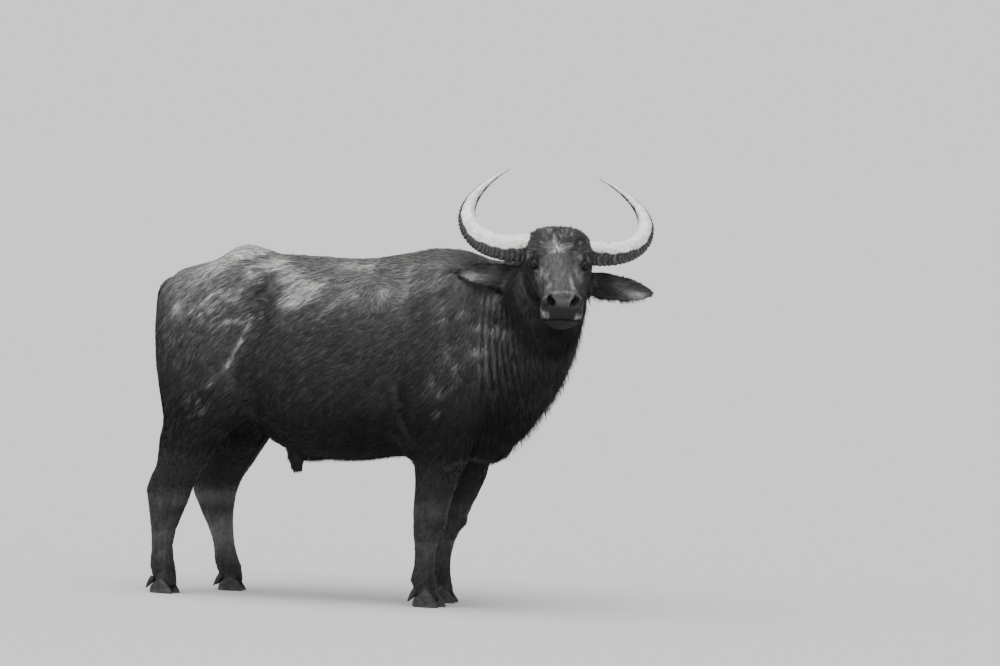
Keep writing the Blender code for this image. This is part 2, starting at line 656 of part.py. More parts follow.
def claw_mesh(name, outer):
    """One claw of a cloven hoof: a flat sole, a sloping front and a straight wall beside its twin."""
    rings = []
    for z, back, front, half in CLAW:
        ring = []
        for a in np.linspace(0, 2 * math.pi, 12, endpoint=False):
            c, s = math.cos(a), math.sin(a)
            along = (front + back) / 2 + (front - back) / 2 * math.copysign(abs(c) ** 0.8, c)
            across = half * math.copysign(abs(s) ** 0.75, s)
            if s * outer < 0:
                across *= 0.82
            taper = 1 - 0.35 * max(0, along / front) ** 3
            ring.append((along, outer * CLAW_APART + across * taper, z))
        rings.append(ring)
    mesh = loft(name, rings)
    mesh.transform(Matrix.Rotation(outer * CLAW_SPLAY, 4, "Z"))
    return mesh


def dewclaw_mesh(name, outer):
    """The small claw behind the fetlock, a blunt cone that points back and down."""
    top = Vector((-0.044, outer * 0.029, 0.076))
    tip = Vector((-0.090, outer * 0.041, 0.016))
    way = (tip - top).normalized()
    side = Vector((0, 1, 0))
    other = way.cross(side).normalized()
    rings = []
    for share, radius in ((0, 0.020), (0.35, 0.0185), (0.7, 0.013), (1.0, 0.004)):
        middle = top + (tip - top) * share
        angle = np.linspace(0, 2 * math.pi, 6, endpoint=False)
        ring = [middle + side * (math.cos(a) * radius) + other * (math.sin(a) * radius)
                for a in angle]
        rings.append(ring)
    return loft(name, rings)


# Feet: the middle of each foot on the floor, the turn of its toes in degrees and its size
FEET = {
    "fore_right": (0.672, -0.160, -6, 1.00),
    "fore_left": (0.632, 0.160, 6, 1.00),
    "hind_right": (-0.616, -0.190, -8, 0.90),
    "hind_left": (-0.420, 0.190, 8, 0.90),
}


def main():
    """Builds every part of the animal and sets it over the origin."""
    for thing in list(bpy.data.objects):
        bpy.data.objects.remove(thing)
    animal = bpy.data.collections.new("Water buffalo")
    helpers = bpy.data.collections.new("Cutters")
    bpy.context.scene.collection.children.link(animal)
    bpy.context.scene.collection.children.link(helpers)

    hide = material("hide", (0.045, 0.044, 0.043), 0.75)
    horn = material("horn", (0.42, 0.41, 0.39), 0.6)
    hoof = material("hoof", (0.06, 0.058, 0.055), 0.6)
    eye = material("eye", (0.010, 0.009, 0.008), 0.08)

    # The merged body, and a copy grown by the fitting gap that trims all that sits on it
    body = put("body", body_mesh(helpers), helpers, helper=True)
    grown = put("grown_body", body.data.copy(), helpers, helper=True)
    swell = grown.modifiers.new("Grow", "DISPLACE")
    swell.mid_level = 0
    swell.strength = FIT_GAP
    grown_mesh = evaluated_mesh(grown)
    grown.modifiers.clear()
    grown.data = grown_mesh

    nodes = []

    def fitted(name, mesh, finish):
        """A piece that sits on the body, trimmed to it with a gap."""
        rough = put(name + "_form", mesh, helpers, helper=True)
        boolean(rough, grown, "DIFFERENCE")
        pieces = islands(evaluated_mesh(rough))
        largest = max(pieces, key=lambda piece: piece[2])[0]
        rough.modifiers.clear()
        largest.materials.clear()
        largest.materials.append(finish)
        nodes.append(put(name, largest, animal))

    for word, side in (("right", -1), ("left", 1)):
        fitted(f"horn_{word}", horn_mesh("horn", side), horn)
        fitted(f"ear_{word}", ear_mesh("ear", side), hide)
    for foot, (x, y, turn, size) in FEET.items():
        for word, outer in (("inner", 1), ("outer", -1)):
            way = outer if y < 0 else -outer
            turned = Matrix.Translation((x, y, 0)) @ Matrix.Rotation(math.radians(turn), 4, "Z")
            turned = turned @ Matrix.Scale(size, 4)
            claw = claw_mesh("claw", way)
            claw.transform(turned)
            fitted(f"hoof_{foot}_{word}", claw, hoof)
            spur = dewclaw_mesh("dewclaw", way)
            spur.transform(turned)
            fitted(f"dewclaw_{foot}_{word}", spur, hoof)

    # Eyeballs and their sockets
    eyes = []
    for word, side in (("right", -1), ("left", 1)):
        along, left, above = EYE_CENTRE
        centre = in_head(along, side * left, above)
        for name, radius, collection in ((f"eye_{word}", EYE_RADIUS, animal),
                                         (f"socket_{word}", EYE_RADIUS + FIT_GAP, helpers)):
            ball = bmesh.new()
            bmesh.ops.create_icosphere(ball, subdivisions=2, radius=radius)
            ball.transform(Matrix.Translation(centre))
            mesh = bpy.data.meshes.new(name)
            ball.to_mesh(mesh)
            ball.free()
            thing = put(name, mesh, collection, helper=collection is helpers)
            if collection is helpers:
                eyes.append(thing)
            else:
                mesh.materials.append(eye)
                nodes.append(thing)

    # The body parted by the cuts
    for cutter in cutting_sheets(helpers) + eyes:
        boolean(body, cutter, "DIFFERENCE")
    pieces = islands(evaluated_mesh(body))
    body.modifiers.clear()
    pieces.sort(key=lambda piece: -piece[2])
    for piece, middle, size in pieces[:len(FLESH_PARTS)]:
        name = min(FLESH_PARTS, key=lambda part: (middle - Vector(FLESH_PARTS[part])).length)
        piece.materials.clear()
        piece.materials.append(hide)
        nodes.append(put(name, piece, animal))

    fitted("tail", along_path("tail", TAIL, 20, 8), hide)
    tuft = along_path("tail_tuft", TAIL_TUFT, 8, 8)
    tuft.materials.append(hide)
    nodes.append(put("tail_tuft", tuft, animal))

    # The whole animal set over the origin, at the middle of its box
    bpy.context.view_layer.update()
    corners = np.array([v.co for thing in nodes for v in thing.data.vertices])
    low, high = corners.min(axis=0), corners.max(axis=0)
    shift = Vector((-(low[0] + high[0]) / 2, -(low[1] + high[1]) / 2, 0))
    for thing in nodes:
        thing.data.transform(Matrix.Translation(shift))


main()
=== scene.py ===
"""A wild water buffalo bull, life size, standing with its head turned to its right, horns swept back."""
import math

import bmesh
import bpy
import numpy as np
from mathutils import Matrix


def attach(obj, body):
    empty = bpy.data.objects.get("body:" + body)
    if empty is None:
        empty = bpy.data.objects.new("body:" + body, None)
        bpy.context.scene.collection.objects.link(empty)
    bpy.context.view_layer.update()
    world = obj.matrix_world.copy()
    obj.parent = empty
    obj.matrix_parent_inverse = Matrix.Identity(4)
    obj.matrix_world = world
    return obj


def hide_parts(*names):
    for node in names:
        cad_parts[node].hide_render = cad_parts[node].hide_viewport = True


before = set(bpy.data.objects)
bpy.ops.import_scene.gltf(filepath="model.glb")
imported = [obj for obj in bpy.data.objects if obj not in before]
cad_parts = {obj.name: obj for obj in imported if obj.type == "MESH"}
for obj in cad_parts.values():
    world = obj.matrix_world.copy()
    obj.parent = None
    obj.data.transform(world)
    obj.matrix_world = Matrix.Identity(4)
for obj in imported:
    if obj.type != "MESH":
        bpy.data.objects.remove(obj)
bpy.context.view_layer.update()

# The hide. On the animal one skin covers trunk, neck, head, legs and tail with no seam; it is thick, dark
# grey and nearly bare. Here copies of the flesh are merged, closed over their thin cuts, smoothed and then
# modelled.
FLESH = ("trunk", "neck", "head", "ear_left", "ear_right", "leg_fore_left", "leg_fore_right",
         "leg_hind_left", "leg_hind_right", "sheath", "tail", "tail_tuft")
OVERLAP = 0.001
SKIN_VOXEL = 0.005
PLAIN_SHARE = 0.10
EYE_LINE = np.array((0.8325, -0.1154, 1.617))
EYE_RADIUS = 0.0215
MIDDLE = 0.0526
UP = np.array((0.0, 0.0, 1.0))
SIDE_ON = np.array((1.0, 0.0, 1.0))
HEAD_TURN, HEAD_NOD = math.radians(-68), math.radians(-31)
NOSE = np.array((math.cos(HEAD_TURN) * math.cos(HEAD_NOD), math.sin(HEAD_TURN) * math.cos(HEAD_NOD),
                 math.sin(HEAD_NOD)))


def unit(vectors):
    """Vectors divided by their own lengths."""
    vectors = np.asarray(vectors, float)
    return vectors / np.maximum(np.linalg.norm(vectors, axis=-1, keepdims=True), 1e-12)


HEAD_LEFT = unit(np.cross(UP, NOSE))
BROW = unit(np.cross(NOSE, HEAD_LEFT))
HEAD_BACK = np.array((-math.cos(HEAD_TURN), -math.sin(HEAD_TURN), 0.0))


def in_head(along, left, above):
    """A place on the head from the middle of the eye line: down the nose, to its left and off the face."""
    return EYE_LINE + NOSE * along + HEAD_LEFT * left + BROW * above


def head_places(points):
    """The same three distances, read back from places."""
    away = points - EYE_LINE
    return away @ NOSE, away @ HEAD_LEFT, away @ BROW


def step(low, high, values):
    """A smooth step from 0 at low to 1 at high, three squares less two cubes."""
    share = np.clip((np.asarray(values, float) - low) / (high - low), 0, 1)
    return share * share * (3 - 2 * share)


def across_from(ways, normals):
    """The ways with what runs along the normals taken out, as unit vectors."""
    return unit(ways - normals * (ways * normals).sum(1)[:, None])


def blend(ways, others, share):
    """Part of the way, by the share of each place, from the first vectors to the others."""
    return ways * (1 - share)[:, None] + share[:, None] * others


def bell(values, middle, reach):
    """1 at the middle and softly down to 0 on both sides, as e to the minus squared distance in reaches."""
    return np.exp(-((values - middle) / reach) ** 2)


def read_mesh(mesh):
    """The vertices and triangles of a mesh as two arrays."""
    mesh.calc_loop_triangles()
    points = np.empty(len(mesh.vertices) * 3, np.float32)
    mesh.vertices.foreach_get("co", points)
    faces = np.empty(len(mesh.loop_triangles) * 3, np.int32)
    mesh.loop_triangles.foreach_get("vertices", faces)
    return points.reshape(-1, 3).astype(float), faces.reshape(-1, 3)


def vertex_normals(points, faces):
    """Unit normals: the cross products of the triangles, added up at each corner."""
    corners = points[faces]
    cross = np.cross(corners[:, 1] - corners[:, 0], corners[:, 2] - corners[:, 0])
    total = np.stack([np.bincount(faces.ravel(), np.repeat(cross[:, k], 3), len(points)) for k in range(3)],
                     1)
    return unit(total)


def make_piece(name, points, faces, smooth=True):
    """A mesh object at the origin from arrays of places and of triangles or four-sided faces."""
    mesh = bpy.data.meshes.new(name)
    faces = np.asarray(faces, np.int32)
    mesh.vertices.add(len(points))
    mesh.vertices.foreach_set("co", np.asarray(points, np.float32).ravel())
    mesh.loops.add(faces.size)
    mesh.loops.foreach_set("vertex_index", faces.ravel())
    mesh.polygons.add(len(faces))
    mesh.polygons.foreach_set("loop_start", np.arange(0, faces.size, faces.shape[1], dtype=np.int32))
    mesh.update(calc_edges=True)
    mesh.shade_smooth() if smooth else mesh.shade_flat()
    piece = bpy.data.objects.new(name, mesh)
    bpy.context.scene.collection.objects.link(piece)
    return piece


def set_shade(piece, name, values):
    """One number for each vertex, kept in the mesh for its material to read."""
    values = np.asarray(values, np.float32)
    piece.data.attributes.new(name, "FLOAT", "POINT").data.foreach_set("value", values)


def grown_part(name):
    """A CAD part with its loose triangles merged and every corner moved out by the overlap."""
    points, faces = read_mesh(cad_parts[name].data)
    points, index = np.unique(np.round(points, 5), axis=0, return_inverse=True)
    faces = index.reshape(-1)[faces]
    faces = faces[(faces[:, 0] != faces[:, 1]) & (faces[:, 1] != faces[:, 2]) & (faces[:, 0] != faces[:, 2])]
    return points + vertex_normals(points, faces) * OVERLAP, faces


def outward(points, faces):
    """The faces turned, if need be, so that a closed shape encloses a positive volume."""
    corners = points[faces] - points.mean(0)
    volume = np.einsum("ij,ij->i", corners[:, 0], np.cross(corners[:, 1], corners[:, 2])).sum()
    return faces if volume > 0 else faces[:, ::-1]


def closed_rings(rings, ends=None):
    """A closed shape from rings of places, with a fan at each end to the ring's own middle or to the place
    given."""
    rows, columns = rings.shape[:2]
    if ends is None:
        ends = (rings[0].mean(0), rings[-1].mean(0))
    points = np.concatenate([rings.reshape(-1, 3), ends])
    here = np.arange(rows * columns).reshape(rows, columns)
    after = np.roll(here, -1, 1)
    strips = [(here[:-1], here[1:], after[1:]), (here[:-1], after[1:], after[:-1]),
              (here[0], after[0], np.full(columns, rows * columns)),
              (after[-1], here[-1], np.full(columns, rows * columns + 1))]
    return points, outward(points, np.concatenate([np.stack(strip, -1).reshape(-1, 3) for strip in strips]))


def joined(shapes):
    """Several shapes as one: their places end to end and their faces renumbered."""
    starts = np.cumsum([0] + [len(points) for points, _ in shapes[:-1]])
    return (np.concatenate([points for points, _ in shapes]),
            np.concatenate([faces + start for (_, faces), start in zip(shapes, starts)]))


def ball(centre, radius, rows=10, columns=16):
    """A closed ball: rings of latitude between two poles."""
    lift = np.linspace(-math.pi / 2, math.pi / 2, rows + 2)[1:-1, None]
    turn = np.linspace(0, 2 * math.pi, columns, endpoint=False)
    rings = np.stack([np.cos(lift) * np.cos(turn), np.cos(lift) * np.sin(turn), np.sin(lift) + 0 * turn], -1)
    return closed_rings(rings * radius + centre, (centre - UP * radius, centre + UP * radius))


EYES = {side: in_head(0.030, side * 0.1140, 0.002) for side in (-1, 1)}
# The ear is a leaf rolled round its length: share of the length, half width, depth of its bowl
EAR = np.array([(0.00, 0.052, 0.040), (0.12, 0.058, 0.042), (0.28, 0.063, 0.038), (0.45, 0.063, 0.031),
                (0.62, 0.058, 0.022), (0.78, 0.046, 0.013), (0.90, 0.030, 0.007), (0.97, 0.014, 0.003)])
EAR_ENDS = {-1: ((0.112, 0.122, -0.094), (0.462, 0.160, -0.058)),
            1: ((0.112, 0.122, -0.092), (0.452, 0.160, -0.140))}


def ear_frame(side):
    """Start and end of an ear, its run, the way its bowl faces and the way across it."""
    start, end = (EYE_LINE + HEAD_LEFT * side * s + HEAD_BACK * b + UP * v for s, b, v in EAR_ENDS[side])
    run = unit(end - start)
    front = unit(-HEAD_BACK + run * (HEAD_BACK @ run)) - UP * 0.25
    front = unit(front - run * (front @ run))
    return start, end, run, front, unit(np.cross(front, run))


def ear_leaf(side, thick=0.0125, rows=40, columns=32):
    """A closed leaf: across it the bowl is a parabola, and a half circle rounds the rim."""
    start, end, _, front, across = ear_frame(side)
    share = np.linspace(0, 1, rows)[:, None, None]
    half, bowl = (np.interp(share, EAR[:, 0], EAR[:, k]) for k in (1, 2))
    half = half * np.sqrt(np.clip((1 - share) / 0.03, 0, 1))
    turn = np.linspace(0, 2 * math.pi, columns, endpoint=False)[None, :, None]
    wide, deep = np.cos(turn), np.sin(turn)
    body = np.sign(deep) * np.sqrt(np.abs(deep))
    return closed_rings(start + (end - start) * share + across * half * wide
                        - front * (bowl * (1 - wide ** 2))
                        + front * (thick / 2 + thick / 2 * body * np.minimum(1, half / 0.01)))


shells = [grown_part(name) for name in FLESH if not name.startswith("ear")]
shells += [ear_leaf(side) for side in (-1, 1)] + [ball(EYES[side], EYE_RADIUS + 0.0015) for side in (-1, 1)]
raw = make_piece("hide", *joined(shells))
remesh = raw.modifiers.new("Merge", "REMESH")
remesh.mode = "VOXEL"
remesh.voxel_size = SKIN_VOXEL
evaluated = raw.evaluated_get(bpy.context.evaluated_depsgraph_get())
raw.data = bpy.data.meshes.new_from_object(evaluated)
raw.modifiers.clear()


def in_edit(piece, *steps):
    """Runs edit-mode steps on one piece alone."""
    bpy.ops.object.select_all(action="DESELECT")
    piece.select_set(True)
    bpy.context.view_layer.objects.active = piece
    bpy.ops.object.mode_set(mode="EDIT")
    for run in steps:
        run()
    bpy.ops.object.mode_set(mode="OBJECT")


# Sealed hollows between the merged parts come off, and only the outer skin stays
in_edit(raw, lambda: bpy.ops.mesh.select_all(action="SELECT"), lambda: bpy.ops.mesh.separate(type="LOOSE"))
loose = sorted(bpy.context.selected_objects, key=lambda o: len(o.data.vertices))
for scrap in loose[:-1]:
    bpy.data.objects.remove(scrap)
skin = loose[-1]
skin.name = "hide"

NECK_FOLDS = [np.array([(0.468 + 0.028 * k, -0.085, 1.46 - 0.01 * k), (0.484 + 0.029 * k, -0.13, 1.26),
                        (0.505 + 0.036 * k, -0.135, 1.05 - 0.015 * k)]) for k in range(6)]


def line_gap(points, path):
    """The distance of each place from a bent line, and how far along that line it lies, from 0 to 1."""
    nearest = np.full(len(points), 1e9)
    share = np.zeros(len(points))
    for k, (a, b) in enumerate(zip(path[:-1], path[1:])):
        along = np.clip((points - a) @ (b - a) / ((b - a) @ (b - a)), 0, 1)
        gap = np.linalg.norm(points - a - along[:, None] * (b - a), axis=1)
        closer = gap < nearest
        nearest = np.where(closer, gap, nearest)
        share = np.where(closer, (k + along) / (len(path) - 1), share)
    return nearest, share


def head_share(points):
    """1 on the head and 0 on the neck, easing over where they meet behind the jaw and the horns."""
    away = points - EYE_LINE
    back = away @ HEAD_BACK
    low = np.clip(-away[:, 2] - 0.25, 0, 1)
    return step(0.17, 0.06, back + 0.9 * low)


def ear_share(points):
    """1 on the ears and 0 on the rest. A place is on an ear when it is within the width of the leaf and
    close to the bent sheet of its bowl."""
    total = np.zeros(len(points))
    for side in (-1, 1):
        start, end, run, front, across = ear_frame(side)
        away = points - start
        share = away @ run / np.linalg.norm(end - start)
        wide = away @ across / np.interp(share, EAR[:, 0], EAR[:, 1])
        off = away @ front + np.interp(share, EAR[:, 0], EAR[:, 2]) * (1 - np.clip(wide, -1, 1) ** 2)
        near = step(1.30, 1.12, np.abs(wide)) * step(0.026, 0.018, np.abs(off)) * step(1.06, 1.02, share)
        total = np.maximum(total, near * step(0.14, 0.24, share))
    return total


def choose_faces(piece, keep):
    """Selects the faces whose middles the test keeps."""
    points, faces = read_mesh(piece.data)
    counts = np.empty(len(piece.data.polygons), np.int32)
    piece.data.polygons.foreach_get("loop_total", counts)
    owner = np.empty(len(faces), np.int32)
    piece.data.loop_triangles.foreach_get("polygon_index", owner)
    middle = points[faces].mean(1)
    chosen = np.zeros(len(counts), bool)
    chosen[owner] = keep(middle)
    piece.data.polygons.foreach_set("select", chosen)
    corners = np.empty(int(counts.sum()), np.int32)
    piece.data.loops.foreach_get("vertex_index", corners)
    picked = np.zeros(len(points), bool)
    picked[corners[np.repeat(chosen, counts)]] = True
    piece.data.vertices.foreach_set("select", picked)
    ends = np.empty(len(piece.data.edges) * 2, np.int32)
    piece.data.edges.foreach_get("vertices", ends)
    piece.data.edges.foreach_set("select", picked[ends.reshape(-1, 2)].all(1))


def plain(middle):
    """True away from the face, the ears and the folds of the neck, where fewer faces serve."""
    along, _, _ = head_places(middle)
    face = (head_share(middle) > 0.5) & (along > -0.16)
    ears = ear_share(middle) > 0.01
    folds = ((middle[:, 1] < 0.0) & (np.abs(middle[:, 0] - 0.57) < 0.12)
             & (np.abs(middle[:, 2] - 1.26) < 0.26))
    return ~(face | ears | folds)


choose_faces(skin, plain)
in_edit(skin, lambda: bpy.ops.mesh.select_mode(type="FACE"),
        lambda: bpy.ops.mesh.decimate(ratio=PLAIN_SHARE),
        lambda: bpy.ops.mesh.select_all(action="SELECT"),
        lambda: bpy.ops.mesh.quads_convert_to_tris())


def subdivide_near(piece, near):
    """Splits into four each triangle whose middle the test keeps."""
    points, faces = read_mesh(piece.data)
    chosen = near(points[faces].mean(1))
    work = bmesh.new()
    work.from_mesh(piece.data)
    work.faces.ensure_lookup_table()
    edges = {edge for index in np.flatnonzero(chosen) for edge in work.faces[index].edges}
    bmesh.ops.subdivide_edges(work, edges=list(edges), cuts=1, use_grid_fill=True)
    bmesh.ops.triangulate(work, faces=[face for face in work.faces if len(face.verts) > 3])
    work.to_mesh(piece.data)
    work.free()


NOSTRILS = {side: in_head(0.352, side * 0.0545, 0.009) for side in (-1, 1)}
HALF_MOUTH = ((0.205, 0.104, -0.118), (0.262, 0.104, -0.112), (0.318, 0.100, -0.100), (0.350, 0.082, -0.088),
              (0.368, 0.045, -0.074))
MOUTH = np.array([in_head(n, -s, f) for n, s, f in HALF_MOUTH] + [in_head(0.371, 0.0, -0.069)]
                 + [in_head(*place) for place in HALF_MOUTH[::-1]])


def near_muzzle(eye_reach, nostril_reach, mouth_reach):
    """A test for places close to an eye, a nostril or the line of the mouth."""
    def test(middle):
        """True for the middles within reach."""
        eye, nostril = (np.min([np.linalg.norm(middle - spot, axis=1) for spot in spots.values()], 0)
                        for spots in (EYES, NOSTRILS))
        return (eye < eye_reach) | (nostril < nostril_reach) | (line_gap(middle, MOUTH)[0] < mouth_reach)
    return test


def even_out(points, faces, share, rounds):
    """Smooths by turns: each place moves a share of the way to its neighbours' mean, then a little more
    than that back, so that facets go and the volume stays."""
    ends = np.concatenate([faces[:, [0, 1]], faces[:, [1, 2]], faces[:, [2, 0]]])
    ends = np.unique(np.sort(ends, 1), axis=0)
    first, second = np.concatenate([ends, ends[:, ::-1]]).T
    count = np.bincount(first, minlength=len(points))
    for turn in range(rounds * 2):
        mean = (np.stack([np.bincount(first, points[second, k], len(points)) for k in range(3)], 1)
                / count[:, None])
        points = points + (mean - points) * (share * (0.60 if turn % 2 == 0 else -0.615))[:, None]
    return points


points, faces = read_mesh(skin.data)
head = head_share(points)
ear = ear_share(points)
leg = step(0.75, 0.50, points[:, 2])
tail = step(-1.06, -1.10, points[:, 0]) * (np.abs(points[:, 1] - 0.06) < 0.09)
body = (1 - head) * (1 - leg) * (1 - tail)
points = even_out(points, faces, np.clip(body + 0.45 * leg + 0.3 * tail, 0, 1) * (1 - ear), 45)
points = even_out(points, faces, np.clip(head * 0.8 + leg * 0.8 + ear + body, 0, 1), 7)
points = even_out(points, faces, ear, 10)
skin.data.vertices.foreach_set("co", points.astype(np.float32).ravel())
subdivide_near(skin, near_muzzle(0.044, 0.044, 0.014))
subdivide_near(skin, near_muzzle(0.034, 0.034, 0.008))

points, faces = read_mesh(skin.data)
points = even_out(points, faces, head_share(points) * near_muzzle(0.06, 0.06, 0.03)(points), 4)
normals = vertex_normals(points, faces)


def swell(centre, radii, height):
    """A soft hill or, below zero, a hollow: the height times e to the minus squared distance in radii."""
    away = (points - centre) / np.asarray(radii)
    return height * np.exp(-(away * away).sum(1))


def crease(path, width, depth, fade=0.15, side=0):
    """A groove along a bent line that fades at both ends, with a low ridge at each side. With a side of -1
    or 1 it is drawn on that flank, however far out the flank lies."""
    path = np.asarray(path, float)
    seen = SIDE_ON if side else np.ones(3)
    gap, along = line_gap(points * seen, path * seen)
    ends = step(0, fade, along) * step(1, 1 - fade, along)
    if side:
        ends = ends * step(0.03, 0.09, side * (points[:, 1] - MIDDLE))
    across = gap / width
    return depth * ends * (0.45 * bell(across, 2, 1) - bell(across, 0, 1))


relief = np.zeros(len(points))
# Loose skin that folds upright on the inner side of the turned neck, and lightly on the outer side
for k, fold in enumerate(NECK_FOLDS):
    relief += crease(fold, 0.0080, 0.0070 - 0.0006 * k, 0.25, -1)
    relief += crease(fold + (0.01, 0, 0), 0.0110, 0.0020, 0.25, 1)
# Hills and hollows of each flank: fore and aft, out from the middle, height, the reach each way and the
# rise. They are the upper arm, the shoulder blade, the hollow before the hip bone, the bone itself, the
# flank's fold and the thigh
FLANK_SWELLS = ((0.230, 0.29, 0.98, 0.080, 0.15, 0.130, 0.009),
                (0.180, 0.25, 1.42, 0.060, 0.20, 0.160, 0.006),
                (-0.555, 0.26, 1.42, 0.050, 0.16, 0.130, -0.013),
                (-0.655, 0.22, 1.50, 0.050, 0.10, 0.050, 0.008),
                (-0.618, 0.27, 0.94, 0.085, 0.15, 0.095, -0.010),
                (-1.020, 0.17, 1.15, 0.050, 0.12, 0.200, 0.005))
# Grooves of each flank as seen from its side, with width, depth and fade: behind the elbow, along the
# shoulder blade, down the thigh, and two faint folds where the belly hangs
FLANK_GROOVES = (
    (((0.145, 0, 1.13), (0.128, 0, 0.99), (0.140, 0, 0.85), (0.165, 0, 0.76)), 0.022, 0.0055, 0.4),
    (((0.29, 0, 1.50), (0.33, 0, 1.28), (0.36, 0, 1.05)), 0.035, 0.006, 0.3),
    (((-0.66, 0, 1.30), (-0.72, 0, 1.12), (-0.82, 0, 0.96)), 0.040, 0.005, 0.3),
    (((-0.45, 0, 0.98), (-0.44, 0, 0.80)), 0.012, 0.003, 0.35),
    (((-0.22, 0, 0.99), (-0.215, 0, 0.78)), 0.012, 0.003, 0.35))
# Hills and hollows of each half of the head: the rim of the eye, the brow over it, the hollow before it,
# the chewing muscle and the wing of the nostril
HEAD_SWELLS = ((0.010, 0.120, 0.004, 0.048, 0.048, 0.048, 0.0055),
               (-0.028, 0.128, 0.040, 0.026, 0.026, 0.018, 0.0075),
               (0.062, 0.118, 0.014, 0.020, 0.020, 0.022, -0.0055),
               (0.020, 0.120, -0.130, 0.060, 0.060, 0.060, 0.006),
               (0.335, 0.082, 0.014, 0.020, 0.020, 0.020, 0.007))
# Lines of each half of the head: the ridge of the cheek, the groove beside the bridge of the nose and the
# fold from the nostril to the corner of the mouth
HEAD_GROOVES = (
    (((0.075, 0.125, -0.035), (0.150, 0.110, -0.045), (0.220, 0.098, -0.070)), 0.014, -0.005, 0.25),
    (((0.060, 0.080, 0.060), (0.150, 0.070, 0.045), (0.250, 0.064, 0.030)), 0.012, 0.0035, 0.3),
    (((0.300, 0.094, 0.000), (0.285, 0.102, -0.050), (0.245, 0.106, -0.095)), 0.007, 0.0035, 0.3))
for side in (-1, 1):
    for x, out, z, *reach, rise in FLANK_SWELLS:
        relief += swell((x, MIDDLE + side * out, z), reach, rise)
    for line, width, depth, fade in FLANK_GROOVES:
        relief += crease(line, width, depth, fade, side)
    for n, s, f, *reach, rise in HEAD_SWELLS:
        relief += swell(in_head(n, side * s, f), reach, rise)
    for line, width, depth, fade in HEAD_GROOVES:
        relief += crease([in_head(n, side * s, f) for n, s, f in line], width, depth, fade)
# Wrinkles in front of and behind each knee and hock, and above each foot
for x, y, z, reach in ((0.265, -0.11, 0.40, 0.10), (0.225, 0.20, 0.40, 0.10), (-0.985, -0.14, 0.50, 0.12),
                       (-0.86, 0.24, 0.51, 0.12), (0.24, -0.11, 0.115, 0.09), (0.20, 0.21, 0.115, 0.09),
                       (-1.04, -0.14, 0.112, 0.09), (-0.85, 0.24, 0.112, 0.09)):
    wave = np.sin((points[:, 2] + 0.25 * (points[:, 0] - x)) * 2 * math.pi / 0.021)
    relief += swell((x, y, z), (reach, reach, 0.32 * reach), 0.0028) * wave
# Fold at the foot of the brisket, the lips and the chin, and the line of the mouth
relief += crease([(0.34, -0.14, 0.70), (0.41, -0.06, 0.685), (0.50, 0.0, 0.672), (0.53, 0.05, 0.68)],
                 0.012, 0.010, 0.2)
relief += swell(in_head(0.365, 0.0, -0.040), (0.05, 0.05, 0.018), 0.004)
relief += swell(in_head(0.367, 0.0, -0.092), (0.040, 0.060, 0.014), 0.005)
relief += crease(MOUTH, 0.0042, 0.0095, 0.06)
points = points + normals * relief[:, None]


def eye_axes(side):
    """The eye's own axes: outward along its gaze, towards its inner corner, and up between the lids."""
    gaze = unit(0.58 * side * HEAD_LEFT + 0.66 * NOSE + 0.47 * BROW)
    inner = unit(NOSE + 0.10 * BROW - gaze * ((NOSE + 0.10 * BROW) @ gaze))
    return gaze, inner, unit(np.cross(gaze, inner)) * (1 if np.cross(gaze, inner) @ BROW > 0 else -1)


def shape_lids(points, side):
    """Lays the skin over the eyeball as two lids, a wall of skin round an almond, and sinks what lies
    inside it."""
    gaze, inner, up = eye_axes(side)
    away = points - EYES[side]
    out, across, high = away @ gaze, away @ inner, away @ up
    reach = np.hypot(across, high)
    near = (reach < 0.046) & (out > -0.02)
    half_high = np.where(high > 0, 0.0132, 0.0112)
    across_share = across / 0.0225
    ring = np.sqrt(across_share ** 2 + (high / half_high) ** 2 * (1 + 0.35 * across_share ** 2))
    ball_out = np.sqrt(np.maximum((EYE_RADIUS + 0.0032) ** 2 - np.minimum(reach, 0.0235) ** 2, 0))
    beyond = np.clip((ring - 1) / 1.15, 0, 1)
    hold = step(1, 0, beyond) * (ring > 1)
    lid = ball_out + 0.0016 * bell(ring, 1.25, 0.20) - 0.0022 * bell(ring, 1.75, 0.20)
    lid -= 0.003 * np.clip(np.abs(across_share) - 0.8, 0, 0.5)
    new = np.where(ring > 1, out + (lid - out) * hold, np.minimum(out, EYE_RADIUS * 0.55 - 0.002))
    blend = step(0.046, 0.036, reach) * near
    return points + gaze * ((new - out) * blend)[:, None], np.where(near & (out > 0), ring, 9.0)


points, right_ring = shape_lids(points, -1)
points, left_ring = shape_lids(points, 1)
eye_ring = np.minimum(right_ring, left_ring)


def shape_nostril(points, side):
    """Presses a deep comma into the muzzle, its outer end higher, and lifts the rim round it."""
    along, left, above = head_places(points)
    flat_left, flat_above = left * side - 0.0545, above - 0.009
    tilt = math.radians(38)
    wide = flat_left * math.cos(tilt) + flat_above * math.sin(tilt)
    high = -flat_left * math.sin(tilt) + flat_above * math.cos(tilt)
    high = high + 6.0 * wide ** 2 * np.sign(0.01 - wide)
    ring = np.sqrt((wide / 0.0275) ** 2 + (high / 0.0165) ** 2)
    front = step(0.308, 0.326, along)
    depth = 0.036 * np.sqrt(np.clip(1 - ring ** 2, 0, 1)) * front
    rim = 0.0035 * bell(ring, 1.22, 0.22) * front
    inward = unit(-NOSE * 0.9 - HEAD_LEFT * side * 0.25 + BROW * 0.1)
    return points + inward * depth[:, None] + NOSE * rim[:, None], np.where(front > 0.5, ring, 9.0)


points, right_ring = shape_nostril(points, -1)
points, left_ring = shape_nostril(points, 1)
nostril_ring = np.minimum(right_ring, left_ring)
normals = vertex_normals(points, faces)


